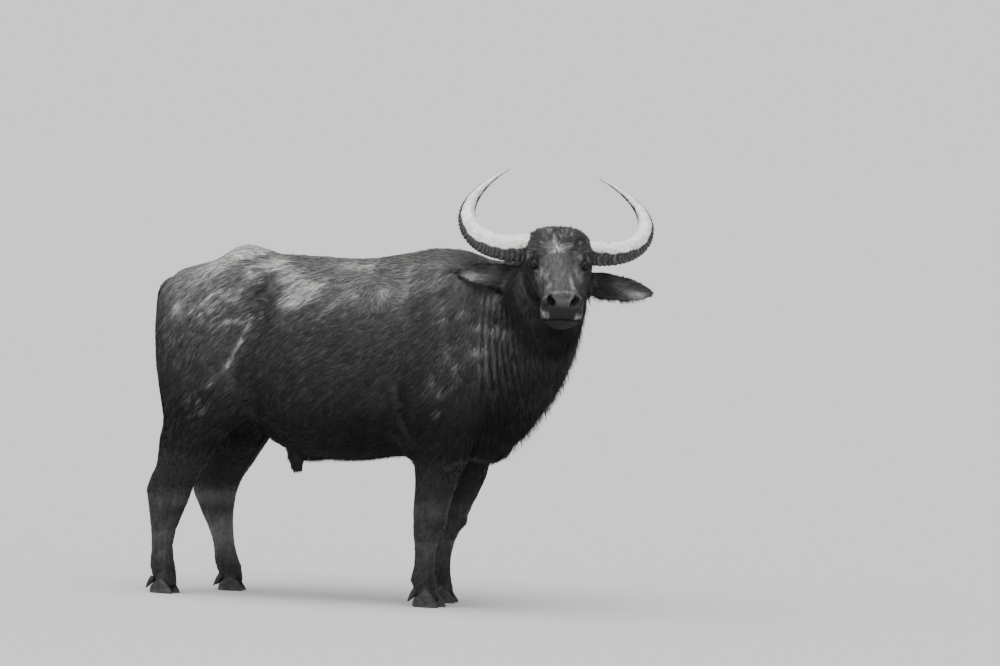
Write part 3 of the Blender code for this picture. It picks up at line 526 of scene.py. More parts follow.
def dapple(places, size, seed):
    """Smooth noise from -1 to 1: chance values at the corners of a lattice of that size, eased between."""
    grid = places / np.asarray(size, float) + 31.7 * seed
    cell = np.floor(grid).astype(np.int64)
    part = grid - cell
    part = part * part * (3 - 2 * part)
    total = np.zeros(len(places))
    for corner in np.ndindex(2, 2, 2):
        x, y, z = (cell + corner).T
        mixed = (x * 73856093) ^ (y * 19349663) ^ (z * 83492791) ^ (seed * 912931)
        mixed = ((mixed ^ (mixed >> 13)) * 1274126177) & 0xFFFFFFFF
        value = ((mixed >> 12) & 0xFFFF) / 32767.5 - 1
        total += value * np.prod(np.where(np.array(corner) == 1, part, 1 - part), 1)
    return total


def streak(places, long, fine, slope, seed):
    """The same noise drawn out along a line that falls backward at the given slope in degrees."""
    fall = math.radians(slope)
    along = -places[:, 0] * math.cos(fall) - places[:, 2] * math.sin(fall)
    across = -places[:, 0] * math.sin(fall) + places[:, 2] * math.cos(fall)
    return dapple(np.stack([along, across, places[:, 1]], 1), (long, fine, 3 * fine), seed)


# Pale dust and worn hair on the flank: fore and aft, height, reach each way, slope in degrees and strength
DUST = np.array((
    (-870, 1330, 200, 210, 0, 13), (-300, 1470, 360, 90, 0, 13), (-800, 1580, 200, 60, 12, 19),
    (-723, 1600, 110, 35, 0, 50), (-819, 1558, 120, 30, 22, 22), (-860, 1500, 170, 30, 24, 22),
    (-1016, 1470, 90, 30, 20, 16), (-631, 1500, 26, 48, 20, 36), (-545, 1552, 66, 30, 5, 56),
    (-452, 1506, 70, 40, -10, 40), (-384, 1425, 95, 55, 25, 56), (-304, 1458, 45, 32, 30, 34),
    (-441, 1395, 32, 60, 0, 26), (-179, 1557, 62, 18, 4, 30), (-91, 1554, 46, 14, 4, 34),
    (-115, 1424, 26, 40, 30, 24), (-213, 1370, 70, 14, 42, 26), (152, 1499, 60, 50, 45, 20),
    (-690, 1423, 55, 40, 20, 26), (-772, 1416, 36, 18, 0, 32), (-856, 1369, 70, 42, 20, 22),
    (-1000, 1335, 28, 42, 0, 30), (267, 1526, 80, 70, 50, 20), (330, 1411, 70, 60, 55, 22),
    (396, 1370, 24, 32, 60, 26), (-631, 1163, 14, 14, 0, 22), (-431, 1292, 12, 22, 0, 18),
    (308, 912, 14, 20, 70, 34), (285, 1051, 18, 10, 40, 24), (204, 1359, 20, 10, 50, 20),
    (-898, 1021, 20, 45, 60, 12), (473, 1199, 20, 55, 80, 20), (500, 1306, 13, 100, 86, 16),
    (556, 1294, 11, 110, 84, 24), (20, 1430, 90, 60, 40, 12),
    (430, 688, 85, 13, 0, 29))) / (1000, 1000, 1000, 1000, 1, 100)
# Crusts of dried mud, broken into crumbs, and painted shade in the hollows: a band before the hip, the
# stifle and the elbow
CRUST = ((-0.700, 1.410, 0.085, 0.050), (-0.850, 1.350, 0.110, 0.050), (-0.779, 1.239, 0.080, 0.034),
         (-0.822, 1.302, 0.100, 0.030), (-0.869, 0.887, 0.060, 0.060), (0.330, 1.360, 0.050, 0.060))
HOLLOW_SHADE = ((-0.560, 1.440, 0.042, 0.100, 0.17), (-0.530, 1.310, 0.050, 0.090, 0.08),
        (-0.618, 0.930, 0.070, 0.060, 0.08), (0.140, 0.940, 0.022, 0.130, 0.07),
        (-1.110, 1.240, 0.030, 0.200, 0.05))
SCAR = np.array([(-0.755, 0, 1.282), (-0.619, 0, 1.303), (-0.603, 0, 1.298), (-0.655, 0, 1.205),
                 (-0.694, 0, 1.127), (-0.745, 0, 1.055), (-0.805, 0, 0.988)])
TAIL_LINE = np.array([(-1.0315, 0.0526, 1.430), (-1.1015, 0.0526, 1.425), (-1.1435, 0.0526, 1.392),
                      (-1.1615, 0.0526, 1.320), (-1.1695, 0.0526, 1.220), (-1.1675, 0.0566, 1.100),
                      (-1.1555, 0.0666, 0.960), (-1.1385, 0.0806, 0.830), (-1.1210, 0.0928, 0.706),
                      (-1.1155, 0.0976, 0.660), (-1.1075, 0.1026, 0.590), (-1.0995, 0.1066, 0.520),
                      (-1.0955, 0.1086, 0.470)])
FACE_MARKS = np.array((
    (6, -16, 78, 22, 26, 30, 62), (-10, -46, 78, 14, 22, 30, 52), (-36, -22, 90, 22, 8, 30, 50),
    (-10, 22, 78, 13, 20, 30, 52), (18, 12, 74, 10, 12, 30, 40), (-50, 14, 95, 15, 7, 30, 34),
    (20, -42, 74, 10, 16, 30, 34), (-6, -140, 32, 12, 18, 22, 62), (30, 91, 45, 12, 8, 20, 58),
    (10, 132, 34, 10, 10, 20, 60), (100, -80, 14, 30, 18, 30, 24), (146, -65, 18, 26, 10, 30, 32),
    (205, 44, 32, 38, 10, 30, 52), (252, 50, 30, 20, 10, 30, 40), (110, 72, 24, 30, 14, 30, 36),
    (150, 82, 10, 34, 13, 30, 28), (232, -62, 18, 22, 14, 30, 34), (302, -34, 30, 8, 24, 30, 38),
    (302, 28, 31, 8, 26, 30, 38), (180, -112, -40, 40, 14, 30, 14), (346, -78, -60, 34, 26, 16, 72),
    (350, 70, -66, 34, 24, 18, 72), (110, 98, -4, 45, 18, 30, 36),
    (120, -100, -4, 45, 18, 30, 30))) / (1000, 1000, 1000, 1000, 1000, 1000, 100)


def paleness(places, normals):
    """How pale the coat is at each place: an even grey with painted light higher up and on faces turned up,
    and painted shade below, in hollows and folds, round the eyes and under the jaw; with streaks, dust,
    crusts, a scar, a star on the forehead and pale lips, each a soft patch broken by noise."""
    x, z = places[:, 0], places[:, 2]
    side = np.where(places[:, 1] > MIDDLE, 1, -1)
    head = head_share(places)
    leg = step(0.66, 0.40, z) * (1 - head)
    hair = streak(places, 0.075, 0.0075, 42, 3)
    broad = streak(places, 0.16, 0.030, 40, 5)
    crumbs = dapple(places, 0.011, 7)
    # Painted light and shade: paler higher up and on faces turned to the sky, darker on faces turned to the
    # ground, and painted shade low on the belly and over the upper legs under it
    value = 0.098 + 0.170 * step(0.80, 1.50, z) + 0.112 * step(0.1, 0.9, normals[:, 2])
    value -= 0.060 * step(0.42, 0.55, z) * step(0.98, 0.80, z)
    value -= 0.045 * step(-0.1, -0.8, normals[:, 2]) + 0.04 * step(0.45, 0.62, x) * (1 - head)
    value += (0.030 * hair + 0.018 * broad + 0.018 * dapple(places, 0.05, 11)) * (1 - 0.5 * head)
    # The far flank carries the same kinds of mark a little further forward and lower
    fore = np.where(side > 0, x - 0.045, x)
    high = np.where(side > 0, z + 0.02 + 0.02 * np.sin(9 * x), z)
    body = (1 - head) * step(0.62, 0.70, z)
    for px, pz, rx, rz, tilt, strength in DUST:
        c, s = math.cos(math.radians(tilt)), math.sin(math.radians(tilt))
        u, v = ((fore - px) * c + (high - pz) * s) / rx, (-(fore - px) * s + (high - pz) * c) / rz
        patch = bell(u, 0, 1) * bell(v, 0, 1) * body
        if strength > 0.3:
            patch = step(0.18, 0.62, patch * (1 + 0.45 * hair + 0.20 * crumbs))
        value += strength * patch * np.clip(0.85 + 0.55 * hair + 0.30 * crumbs, 0, 1.6)
    for px, pz, rx, rz in CRUST:
        patch = bell(fore, px, rx) * bell(high, pz, rz) * body
        value += patch * (0.34 * step(0.15, 0.75, crumbs) - 0.10 * step(0.0, -0.5, crumbs))
    # Painted shade in the hollows listed above
    for px, pz, rx, rz, strength in HOLLOW_SHADE:
        value -= strength * bell(fore, px, rx) * bell(high, pz, rz) * body
    gap, along = line_gap(np.stack([fore, 0 * x, high], 1), SCAR)
    value += np.where(side < 0, 0.50, 0.0) * bell(gap, 0, 0.0065 + 0.004 * np.sin(3 * along)) * body
    gap, _ = line_gap(places, TAIL_LINE)
    tail = step(0.055, 0.040, gap) * step(1.44, 1.38, z)
    value = value * (1 - tail) + tail * (0.05 + 0.03 * hair)
    # The folds of the neck: painted shade in each crease and painted light on the skin beside it, stronger
    # on the inner side of the turned neck
    for fold in NECK_FOLDS:
        gap, _ = line_gap(places * SIDE_ON, fold * SIDE_ON)
        depth = np.where(side < 0, 0.06, 0.02) * (1 - head)
        value += depth * (bell(gap, 0.015, 0.006) - 2 * bell(gap, 0, 0.007))
    # Longer hair hangs in paler wisps down the front of the neck
    wisps = (np.clip(0.15 + dapple(places, (0.012, 0.012, 0.085), 71), 0, 1) * step(0.42, 0.52, x)
             * (1 - head))
    value += 0.13 * wisps * step(1.40, 1.25, z)
    # A worn ring on the shoulder
    ring = np.hypot((fore - 0.335) / 0.055, (high - 1.085) / 0.085)
    value += 0.24 * bell(ring, 1, 0.22) * np.clip(0.5 + 0.8 * crumbs + 0.5 * broad, 0, 1) * body
    # Stockings: the shanks are paler, partly pale hair and mud, partly a painted sheen; the joints dark
    shank = np.maximum(bell(z, 0.27, 0.11), 0.8 * bell(z, 0.44, 0.05))
    value += leg * 0.055 * dapple(places, (0.010, 0.010, 0.060), 67)
    value += leg * 0.20 * shank * (side > 0) * (x < -0.4)
    value += leg * (0.125 * shank - 0.035 + 0.05 * bell(z, 0.06, 0.03))
    along, left, above = head_places(places)
    on_face = np.stack([along, left, above], 1)
    tuft = dapple(on_face, (0.024, 0.0050, 0.016), 13)
    value += head * (-0.135 + 0.095 * tuft + 0.030 * dapple(places, 0.03, 17))
    value -= head * 0.03 * step(0.085, 0.135, np.abs(left)) * step(0.03, -0.03, above)
    # The underside of the head and the chin are darker: partly dark hair, partly painted shade under the jaw
    value -= (head * 0.09 * step(-0.085, -0.16, above)
              + head * 0.06 * step(0.15, 0.20, along) * step(-0.02, -0.09, above))
    value -= head * 0.22 * step(-0.078, -0.094, above) * step(0.18, 0.28, along)
    value += (head * step(0.02, -0.06, along)
              * (0.05 + 0.26 * step(0.40, 0.85, tuft) * step(0.03, 0.07, above)))
    # A dark patch round each eye: partly dark skin, partly painted shade in the socket
    for eye in EYES.values():
        value -= head * 0.16 * bell(np.linalg.norm(places - eye, axis=1), 0, 0.031)
    value = np.maximum(value, 0.02)
    broken = np.clip(0.75 + 0.7 * dapple(places, (0.006, 0.006, 0.010), 19), 0, 1.35)
    for n, s, f, reach_n, reach_s, reach_f, strength in FACE_MARKS:
        value += (head * strength * bell(along, n, reach_n) * bell(left, s, reach_s)
                  * bell(above, f, reach_f) * broken)
    pad = step(0.318, 0.332, along - 0.25 * np.clip(above, -1, 0.05)) * step(0.064, 0.050, np.abs(left))
    pad = pad * step(-0.085, -0.065, above) * head
    value = value * (1 - pad) + pad * (0.035 + 0.225 * step(-0.022, 0.006, above))
    ear = ear_share(places)
    for side in (-1, 1):
        start, end, run, front, across = ear_frame(side)
        share = (places - start) @ run / np.linalg.norm(end - start)
        inner = (normals @ front > -0.1)
        wide = (places - start) @ across
        half = np.interp(share, EAR[:, 0], EAR[:, 1])
        here = ear * (side * (places - EYE_LINE) @ HEAD_LEFT > 0)
        rim = step(0.72, 0.95, np.abs(wide) / half) + step(0.90, 0.97, share)
        low = wide * (1 if across[2] < 0 else -1)
        pale = bell(share, 0.74, 0.15) * bell(low, 0.016, 0.020) * inner
        pale += 0.35 * bell(share, 0.5, 0.12) * bell(low, -0.01, 0.03) * inner
        ear_value = (0.28 + 0.76 * pale - 0.20 * np.clip(rim, 0, 1)
                     + 0.12 * dapple(places, (0.02, 0.02, 0.007), 23))
        ear_value += np.where(inner, -0.07 * step(0.45, 0.15, share), 0.02)
        value = value * (1 - here) + here * ear_value
    return np.clip(value, 0.02, 1)


def reflect(value):
    """The grey that a paleness gives: dark hide at 0, chalky hair near 1."""
    return 0.010 + 0.52 * value ** 1.65


def coat_depth(places):
    """How far the skin lies under the outline of the coat."""
    head = head_share(places)
    ear = ear_share(places)
    along, _, above = head_places(places)
    leg = step(0.66, 0.45, places[:, 2])
    tail = (step(-1.06, -1.10, places[:, 0]) * (np.abs(places[:, 1] - 0.06) < 0.09)
            * step(1.40, 1.30, places[:, 2]))
    switch = tail * step(0.74, 0.66, places[:, 2])
    depth = 0.0048 * (1 - head) * (1 - leg) + 0.0026 * leg * (1 - head) + 0.0016 * head
    depth = depth + head * 0.004 * step(-0.02, -0.08, along) * step(0.02, 0.08, above)
    depth = depth * (1 - ear) + 0.0026 * ear
    return depth * (1 - switch) + 0.016 * switch


skin_points = points - normals * coat_depth(points)[:, None]
skin.data.clear_geometry()
bpy.data.objects.remove(skin)
skin = make_piece("hide", skin_points, faces)
# Painted shade inside the nostrils and along the crease of the mouth; the rims of the lids are darkened too
hole = step(1.02, 0.90, nostril_ring)
mouth_gap, _ = line_gap(skin_points, MOUTH)
lid_edge = bell(eye_ring, 1.04, 0.10)
value = paleness(skin_points, normals) * (1 - 0.92 * hole) * (1 - 0.75 * bell(mouth_gap, 0, 0.0045))
set_shade(skin, "shade", reflect(value * (1 - 0.7 * lid_edge)))
along, left, above = head_places(skin_points)
wet_pad = 0.6 * step(0.322, 0.336, along) * step(-0.05, -0.01, above)
set_shade(skin, "wet", np.clip(wet_pad + lid_edge + hole, 0, 1))


def shaded_finish(name, tint, roughness, specular, *layers):
    """A Principled surface coloured by the piece's own shade in one tint, under stacked noise bumps in
    Object coordinates, each given as size, detail, stretch and depth in metres."""
    finish = bpy.data.materials.new(name)
    finish.use_nodes = True
    nodes, links = finish.node_tree.nodes, finish.node_tree.links
    shader = nodes["Principled BSDF"]
    shader.inputs["Roughness"].default_value = roughness
    shader.inputs["Specular IOR Level"].default_value = specular
    shade = nodes.new("ShaderNodeAttribute")
    shade.attribute_name = "shade"
    ramp = nodes.new("ShaderNodeValToRGB")
    ramp.color_ramp.elements[0].color = (0, 0, 0, 1)
    ramp.color_ramp.elements[1].color = (*tint, 1)
    links.new(shade.outputs["Fac"], ramp.inputs["Fac"])
    links.new(ramp.outputs["Color"], shader.inputs["Base Color"])
    place = nodes.new("ShaderNodeTexCoord")
    under = shader.inputs["Normal"]
    for size, detail, stretch, depth in layers[::-1]:
        mapping = nodes.new("ShaderNodeMapping")
        mapping.inputs["Scale"].default_value = stretch
        noise = nodes.new("ShaderNodeTexNoise")
        noise.inputs["Scale"].default_value = 1 / size
        noise.inputs["Detail"].default_value = detail
        bump = nodes.new("ShaderNodeBump")
        bump.inputs["Distance"].default_value = depth
        bump.inputs["Strength"].default_value = 1.0
        links.new(place.outputs["Object"], mapping.inputs["Vector"])
        links.new(mapping.outputs["Vector"], noise.inputs["Vector"])
        links.new(noise.outputs["Fac"], bump.inputs["Height"])
        links.new(bump.outputs["Normal"], under)
        under = bump.inputs["Normal"]
    return finish


def hand_in(piece, finish, slot, *replaced):
    """Gives a piece its finish, sets it on the root body and hides the CAD parts it stands for; the slot is
    not used.
    """
    piece.data.materials.append(finish)
    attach(piece, "root")
    if replaced:
        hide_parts(*replaced)


HIDE_TINT = (1.0, 0.985, 0.965)
DRY, MOIST = 0.62, 0.34
hide = shaded_finish("hide", HIDE_TINT, DRY, 0.24,
                     (0.004, 4.0, (1, 1, 1), 0.0010), (0.018, 3.0, (1, 1, 0.45), 0.0022))
nodes, links = hide.node_tree.nodes, hide.node_tree.links
wet = nodes.new("ShaderNodeAttribute")
wet.attribute_name = "wet"
gloss = nodes.new("ShaderNodeMapRange")
gloss.inputs["To Min"].default_value = DRY
gloss.inputs["To Max"].default_value = MOIST
links.new(wet.outputs["Fac"], gloss.inputs["Value"])
links.new(gloss.outputs["Result"], nodes["Principled BSDF"].inputs["Roughness"])
hand_in(skin, hide, "hide", *FLESH)


# The eyes. Each is a ball, nearly black, with a brown iris and a level pupil under a clear bulging front.
IRIS_ANGLE, PUPIL_WIDE, PUPIL_HIGH, FRONT_SWELL = 0.62, 0.40, 0.17, 0.0013


def eyeball(side, rows=48, columns=64):
    """A ball about the gaze in rings from front to back, its front third swollen as the clear front is;
    returns places, faces, and for each place its angle off the gaze, how far across it lies and how
    high."""
    gaze, inner, up = eye_axes(side)
    angle = np.broadcast_to(np.linspace(0, math.pi, rows + 2)[1:-1, None], (rows, columns))
    turn = np.linspace(0, 2 * math.pi, columns, endpoint=False)
    across, high = np.sin(angle) * np.cos(turn), np.sin(angle) * np.sin(turn)
    ways = across[..., None] * inner + high[..., None] * up + np.cos(angle)[..., None] * gaze
    rings = EYES[side] + ways * (EYE_RADIUS + FRONT_SWELL * bell(angle, 0, 0.55))[..., None]
    ends = (EYES[side] + gaze * (EYE_RADIUS + FRONT_SWELL), EYES[side] - gaze * EYE_RADIUS)
    return (*closed_rings(rings, ends), np.append(angle, (0, math.pi)), np.append(across, (0, 0)),
            np.append(high, (0, 0)))


eye_finish = shaded_finish("eye", (1.0, 0.90, 0.80), 0.10, 0.22)
for side, node in ((-1, "eye_right"), (1, "eye_left")):
    eye_points, eye_faces, angle, across, high = eyeball(side)
    eye = make_piece(node.replace("eye", "eyeball"), eye_points, eye_faces)
    iris = step(IRIS_ANGLE + 0.03, IRIS_ANGLE - 0.03, angle)
    fibres = 0.5 + 0.5 * np.sin(np.arctan2(high, across) * 34)
    pupil = step(1.06, 0.94, np.hypot(across / PUPIL_WIDE, high / PUPIL_HIGH))
    shade = 0.012 + iris * (0.008 + 0.007 * fibres - 0.006 * step(0.45, 0.62, angle))
    set_shade(eye, "shade", shade * (1 - pupil) + 0.002 * pupil)
    hand_in(eye, eye_finish, "eye", node)


# The horns. Hollow horn over a core of bone, three-sided, swept out, back and up in a crescent; the flat
# upper face is bleached almost white, and the lower and front faces are dark, partly their own colour and
# partly painted shade, and wrinkled across by growth.
HORN = np.array((
    (85, 108, 58, 130, 112), (150, 108, 60, 134, 114), (205, 106, 58, 132, 110), (262, 110, 62, 126, 104),
    (315, 124, 74, 118, 97), (362, 152, 100, 108, 90), (396, 192, 138, 96, 80), (411, 236, 181, 83, 68),
    (408, 278, 222, 70, 56), (390, 318, 262, 57, 45), (358, 358, 303, 44, 34), (316, 392, 342, 31, 23),
    (264, 422, 380, 18, 13), (212, 444, 410, 6, 5))) / 1000
HORN_ROWS, HORN_COLUMNS, RIDGE_PITCH = 330, 72, 0.0200
HORN_DROOP, HORN_LOWER, HORN_OUT, HORN_SLIMMER = 0.017, 0.016, 0.007, 0.89


def eased_rows(rows, count):
    """Rows read off smooth curves through the given ones, evenly by their length: a cubic whose slope at
    each row is that of the line between its neighbours."""
    rows = np.asarray(rows, float)
    run = np.append(0, np.cumsum(np.linalg.norm(np.diff(rows[:, :3], axis=0), axis=1)))
    slope = np.gradient(rows, run, axis=0)
    at = np.linspace(0, run[-1], count)
    k = np.clip(np.searchsorted(run, at) - 1, 0, len(run) - 2)
    gap = (run[k + 1] - run[k])[:, None]
    t = ((at - run[k]) / gap[:, 0])[:, None]
    return (rows[k] * (2 * t ** 3 - 3 * t ** 2 + 1) + slope[k] * gap * (t ** 3 - 2 * t ** 2 + t)
            + rows[k + 1] * (3 * t ** 2 - 2 * t ** 3) + slope[k + 1] * gap * (t ** 3 - t ** 2))


def horn_surface(side):
    """Rings of a three-cornered section along the crescent, with ridges across the lower and front faces;
    returns places, faces, and for each place its share of the length, how dark it is and its ridge."""
    rows = eased_rows(HORN, HORN_ROWS)
    share = np.linspace(0, 1, HORN_ROWS)
    drop = np.where(side > 0, HORN_LOWER + HORN_DROOP * share ** 3, 0.0)
    size = rows[:, 3:] * (HORN_SLIMMER if side > 0 else 1.0)
    out = side * (rows[:, 0] - drop / 3) + (HORN_OUT if side > 0 else 0.0)
    centre = (EYE_LINE + out[:, None] * HEAD_LEFT + rows[:, 1:2] * HEAD_BACK
              + (rows[:, 2] - drop)[:, None] * UP)
    way = unit(np.gradient(centre, axis=0))
    outer = unit(np.cross(way, unit(UP - HEAD_BACK))) * side
    over = unit(np.cross(outer, way)) * side
    turn = np.linspace(0, 2 * math.pi, HORN_COLUMNS, endpoint=False)
    swollen = 1 - 0.10 * np.cos(3 * (turn + math.pi / 2) - 0.5)
    length = share[:, None] * 1.02
    # The edge between the pale upper face and the dark band wanders a little and climbs towards the tip. The
    # dark band is partly the horn's own dark, muddy colour and partly painted shade on the faces turned down
    edge = np.sin(turn) - 0.55 * np.cos(turn)
    wander = 0.06 * np.sin(length * 37) + 0.05 * np.sin(length * 91 + 2)
    climb = (0.36 + 0.08 * side) * step(0.45, 0.15, share) + 0.30 * share ** 2
    dark = step(0.16, -0.02, edge + wander - climb[:, None])
    # Towards the tip a thin dark edge runs along the inner curve
    inner_edge = (step(-0.86, -0.96, np.cos(turn) + 0.05 * np.sin(length * 60))
                  * step(0.50, 0.68, share)[:, None])
    dark = np.maximum(dark, inner_edge)
    wobble = 0.9 * np.sin(turn * 2 + 1.3) + 0.5 * np.sin(turn * 5)
    phase = (length * 2 * math.pi / RIDGE_PITCH + 1.7 * wobble + 3.0 * np.sin(length * 19)
             + 1.6 * np.sin(length * 31 + 4 + np.sin(turn)) + 1.2 * np.sin(length * 67 + 1))
    crest = 0.5 + 0.5 * np.sin(phase)
    fade = (step(0.95, 0.55, share) * step(0.0, 0.05, share))[:, None]
    ridge = (crest ** 1.6 - 0.45) * (0.25 + 0.75 * dark) * fade
    fine = np.sin(length * 2 * math.pi / 0.0052 + 3 * wobble) * 0.12
    bulk = swollen * (1 + (0.0034 * ridge + 0.0009 * fine * dark)
                      / np.maximum(size.mean(1)[:, None] / 2, 0.004)) / 2
    rings = (centre[:, None] + outer[:, None] * (np.cos(turn) * bulk * size[:, :1])[..., None]
             + over[:, None] * (np.sin(turn) * bulk * size[:, 1:])[..., None])
    return (*closed_rings(rings, (centre[0], centre[-1] + way[-1] * 0.004)),
            np.append(np.repeat(share, HORN_COLUMNS), (0, 1)), np.append(dark, (1, 1)),
            np.append(crest, (0, 0)))


horn_finish = shaded_finish("horn", (1.0, 0.985, 0.955), 0.50, 0.45,
                            (0.006, 5.0, (1, 1, 1), 0.0013), (0.022, 3.0, (1, 1, 1), 0.0040))
for side, node in ((-1, "horn_right"), (1, "horn_left")):
    horn_points, horn_faces, share, dark, crest = horn_surface(side)
    horn = make_piece(node.replace("horn", "horn_sheath"), horn_points, horn_faces)
    mottle = dapple(horn_points, 0.009, 29) * 0.20 + dapple(horn_points, 0.035, 31) * 0.13
    specks = step(0.54, 0.76, dapple(horn_points, 0.007, 37)) * 0.36
    pale_face = 0.80 + mottle - specks - 0.10 * step(0.08, 0.0, share)
    worn = 0.45 + 0.55 * dapple(horn_points, (0.012, 0.012, 0.03), 45)
    chips = step(0.3, 0.7, dapple(horn_points, 0.009, 41))
    dark_face = 0.014 + 0.090 * crest ** 2 * worn + 0.05 * (mottle + chips)
    tip = 0.10 * step(0.9, 1.0, share)
    set_shade(horn, "shade", np.clip(pale_face * (1 - dark) + dark_face * dark - tip, 0.01, 1))
    hand_in(horn, horn_finish, "horn", node)


# The hooves. Two horn claws to a foot, each with a level sole, a sloping ringed wall and a straight inner
# side, grown round the toe bones; two small dewclaws point back and down behind the fetlock.
CLAW = np.array([(0.000, -0.052, 0.082, 0.031), (0.012, -0.053, 0.079, 0.0315),
                 (0.035, -0.048, 0.064, 0.030), (0.058, -0.022, 0.047, 0.027),
                 (0.080, 0.004, 0.030, 0.020)])
CLAW_APART, CLAW_SPLAY = 0.0335, math.radians(7)
FEET = {"fore_right": (0.2405, -0.1074, -6, 1.00), "fore_left": (0.2005, 0.2126, 6, 1.00),
        "hind_right": (-1.0475, -0.1374, -8, 0.90), "hind_left": (-0.8515, 0.2426, 8, 0.90)}


def claw_surface(outer, rows=34, columns=56):
    """Rings of a rounded oblong from sole to coronet, straight on the inner side and ringed by growth."""
    z = np.linspace(0, CLAW[-1, 0], rows)
    back, front, half = (np.interp(z, CLAW[:, 0], CLAW[:, k]) for k in (1, 2, 3))
    turn = np.linspace(0, 2 * math.pi, columns, endpoint=False)
    c, s = np.cos(turn), np.sin(turn)
    along = ((front + back) / 2)[:, None] + ((front - back) / 2)[:, None] * np.sign(c) * np.abs(c) ** 0.8
    across = half[:, None] * np.sign(s) * np.abs(s) ** 0.75 * np.where(s * outer < 0, 0.82, 1.0)
    across = across * (1 - 0.35 * np.maximum(0, along / front[:, None]) ** 3)
    growth = 1 + 0.012 * np.sin(z[:, None] * 2 * math.pi / 0.0062 + 0.5 * np.sin(2 * turn))
    growth = np.where(z[:, None] < 0.004, 1, growth)
    return closed_rings(np.stack([along * growth, outer * CLAW_APART + across * growth,
                                  0 * along + z[:, None]], -1))


def dewclaw_surface(outer, rows=16, columns=20):
    """A blunt cone from a rounded root to its tip."""
    top, tip = np.array((-0.042, outer * 0.028, 0.078)), np.array((-0.080, outer * 0.036, 0.024))
    share = np.linspace(0, 1, rows)
    radius = (np.interp(share, (0, 0.35, 0.7, 1.0), (0.0175, 0.0155, 0.010, 0.003))
              * (1 + 0.03 * np.sin(share * 40)))
    way = unit(tip - top)
    side = unit(np.cross(way, (1, 0, 0)))
    other = np.cross(way, side)
    turn = np.linspace(0, 2 * math.pi, columns, endpoint=False)
    rings = (top + (tip - top) * share[:, None])[:, None] + radius[:, None, None] * (
        np.cos(turn)[:, None] * side + np.sin(turn)[:, None] * other)
    return closed_rings(rings, (top - way * 0.004, tip + way * 0.002))


def at_foot(points, foot, outer_turn):
    """A claw turned by its splay, set on its foot and turned and sized with it."""
    x, y, degrees, size = FEET[foot]
    turn = math.radians(degrees)
    for angle in (outer_turn, turn):
        c, s = math.cos(angle), math.sin(angle)
        points = points @ np.array([(c, s, 0), (-s, c, 0), (0, 0, 1)])
    return points * size + (x, y, 0)


hoof_finish = shaded_finish("hoof", (1.0, 0.98, 0.95), 0.58, 0.40, (0.005, 4.0, (1, 1, 3), 0.0007))
for kind, name, surface, spread in (("hoof_", "hooves", claw_surface, CLAW_SPLAY),
                                    ("dewclaw_", "dewclaws", dewclaw_surface, 0.0)):
    shapes = []
    for foot in FEET:
        for outer in (-1, 1):
            shape, shape_faces = surface(outer)
            shapes.append((at_foot(shape, foot, outer * spread), shape_faces))
    hoof_points, hoof_faces = joined(shapes)
    hooves = make_piece(name, hoof_points, hoof_faces)
    dusty = (0.018 + 0.012 * dapple(hoof_points, (0.02, 0.02, 0.004), 43)
             + 0.02 * dapple(hoof_points, 0.012, 47))
    dusty += (0.03 * step(0.030, 0.0, hoof_points[:, 2])
              + 0.02 * step(0.2, 0.8, dapple(hoof_points, 0.03, 49)))
    set_shade(hooves, "shade", np.clip(dusty, 0.015, 1))
    hand_in(hooves, hoof_finish, "hoof", *[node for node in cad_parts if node.startswith(kind)])


# The coat. Short, coarse, sparse hair in flat locks that lie back and down over the body; each lock is a
# closed three-sided blade rooted in the skin, and carries the shade of the hide at its root.
rng = np.random.default_rng(83)
skin_corners = skin_points[faces]
skin_area = np.linalg.norm(np.cross(skin_corners[:, 1] - skin_corners[:, 0],
                                    skin_corners[:, 2] - skin_corners[:, 0]), axis=1) / 2
skin_middle = skin_corners.mean(1)
middle_normal = unit(normals[faces].mean(1))
STAR = (-0.003, -0.018)


def regions(places):
    """Shares of each place in the head, the ears, the legs, the tail and the neck, as soft steps."""
    head = head_share(places)
    ear = ear_share(places)
    leg = step(0.70, 0.55, places[:, 2]) * (places[:, 2] < 0.75)
    gap, _ = line_gap(places, TAIL_LINE)
    tail = step(0.055, 0.040, gap) * (places[:, 0] < -1.07)
    neck = step(0.36, 0.52, places[:, 0]) * (1 - head)
    return head, ear, leg, tail, neck


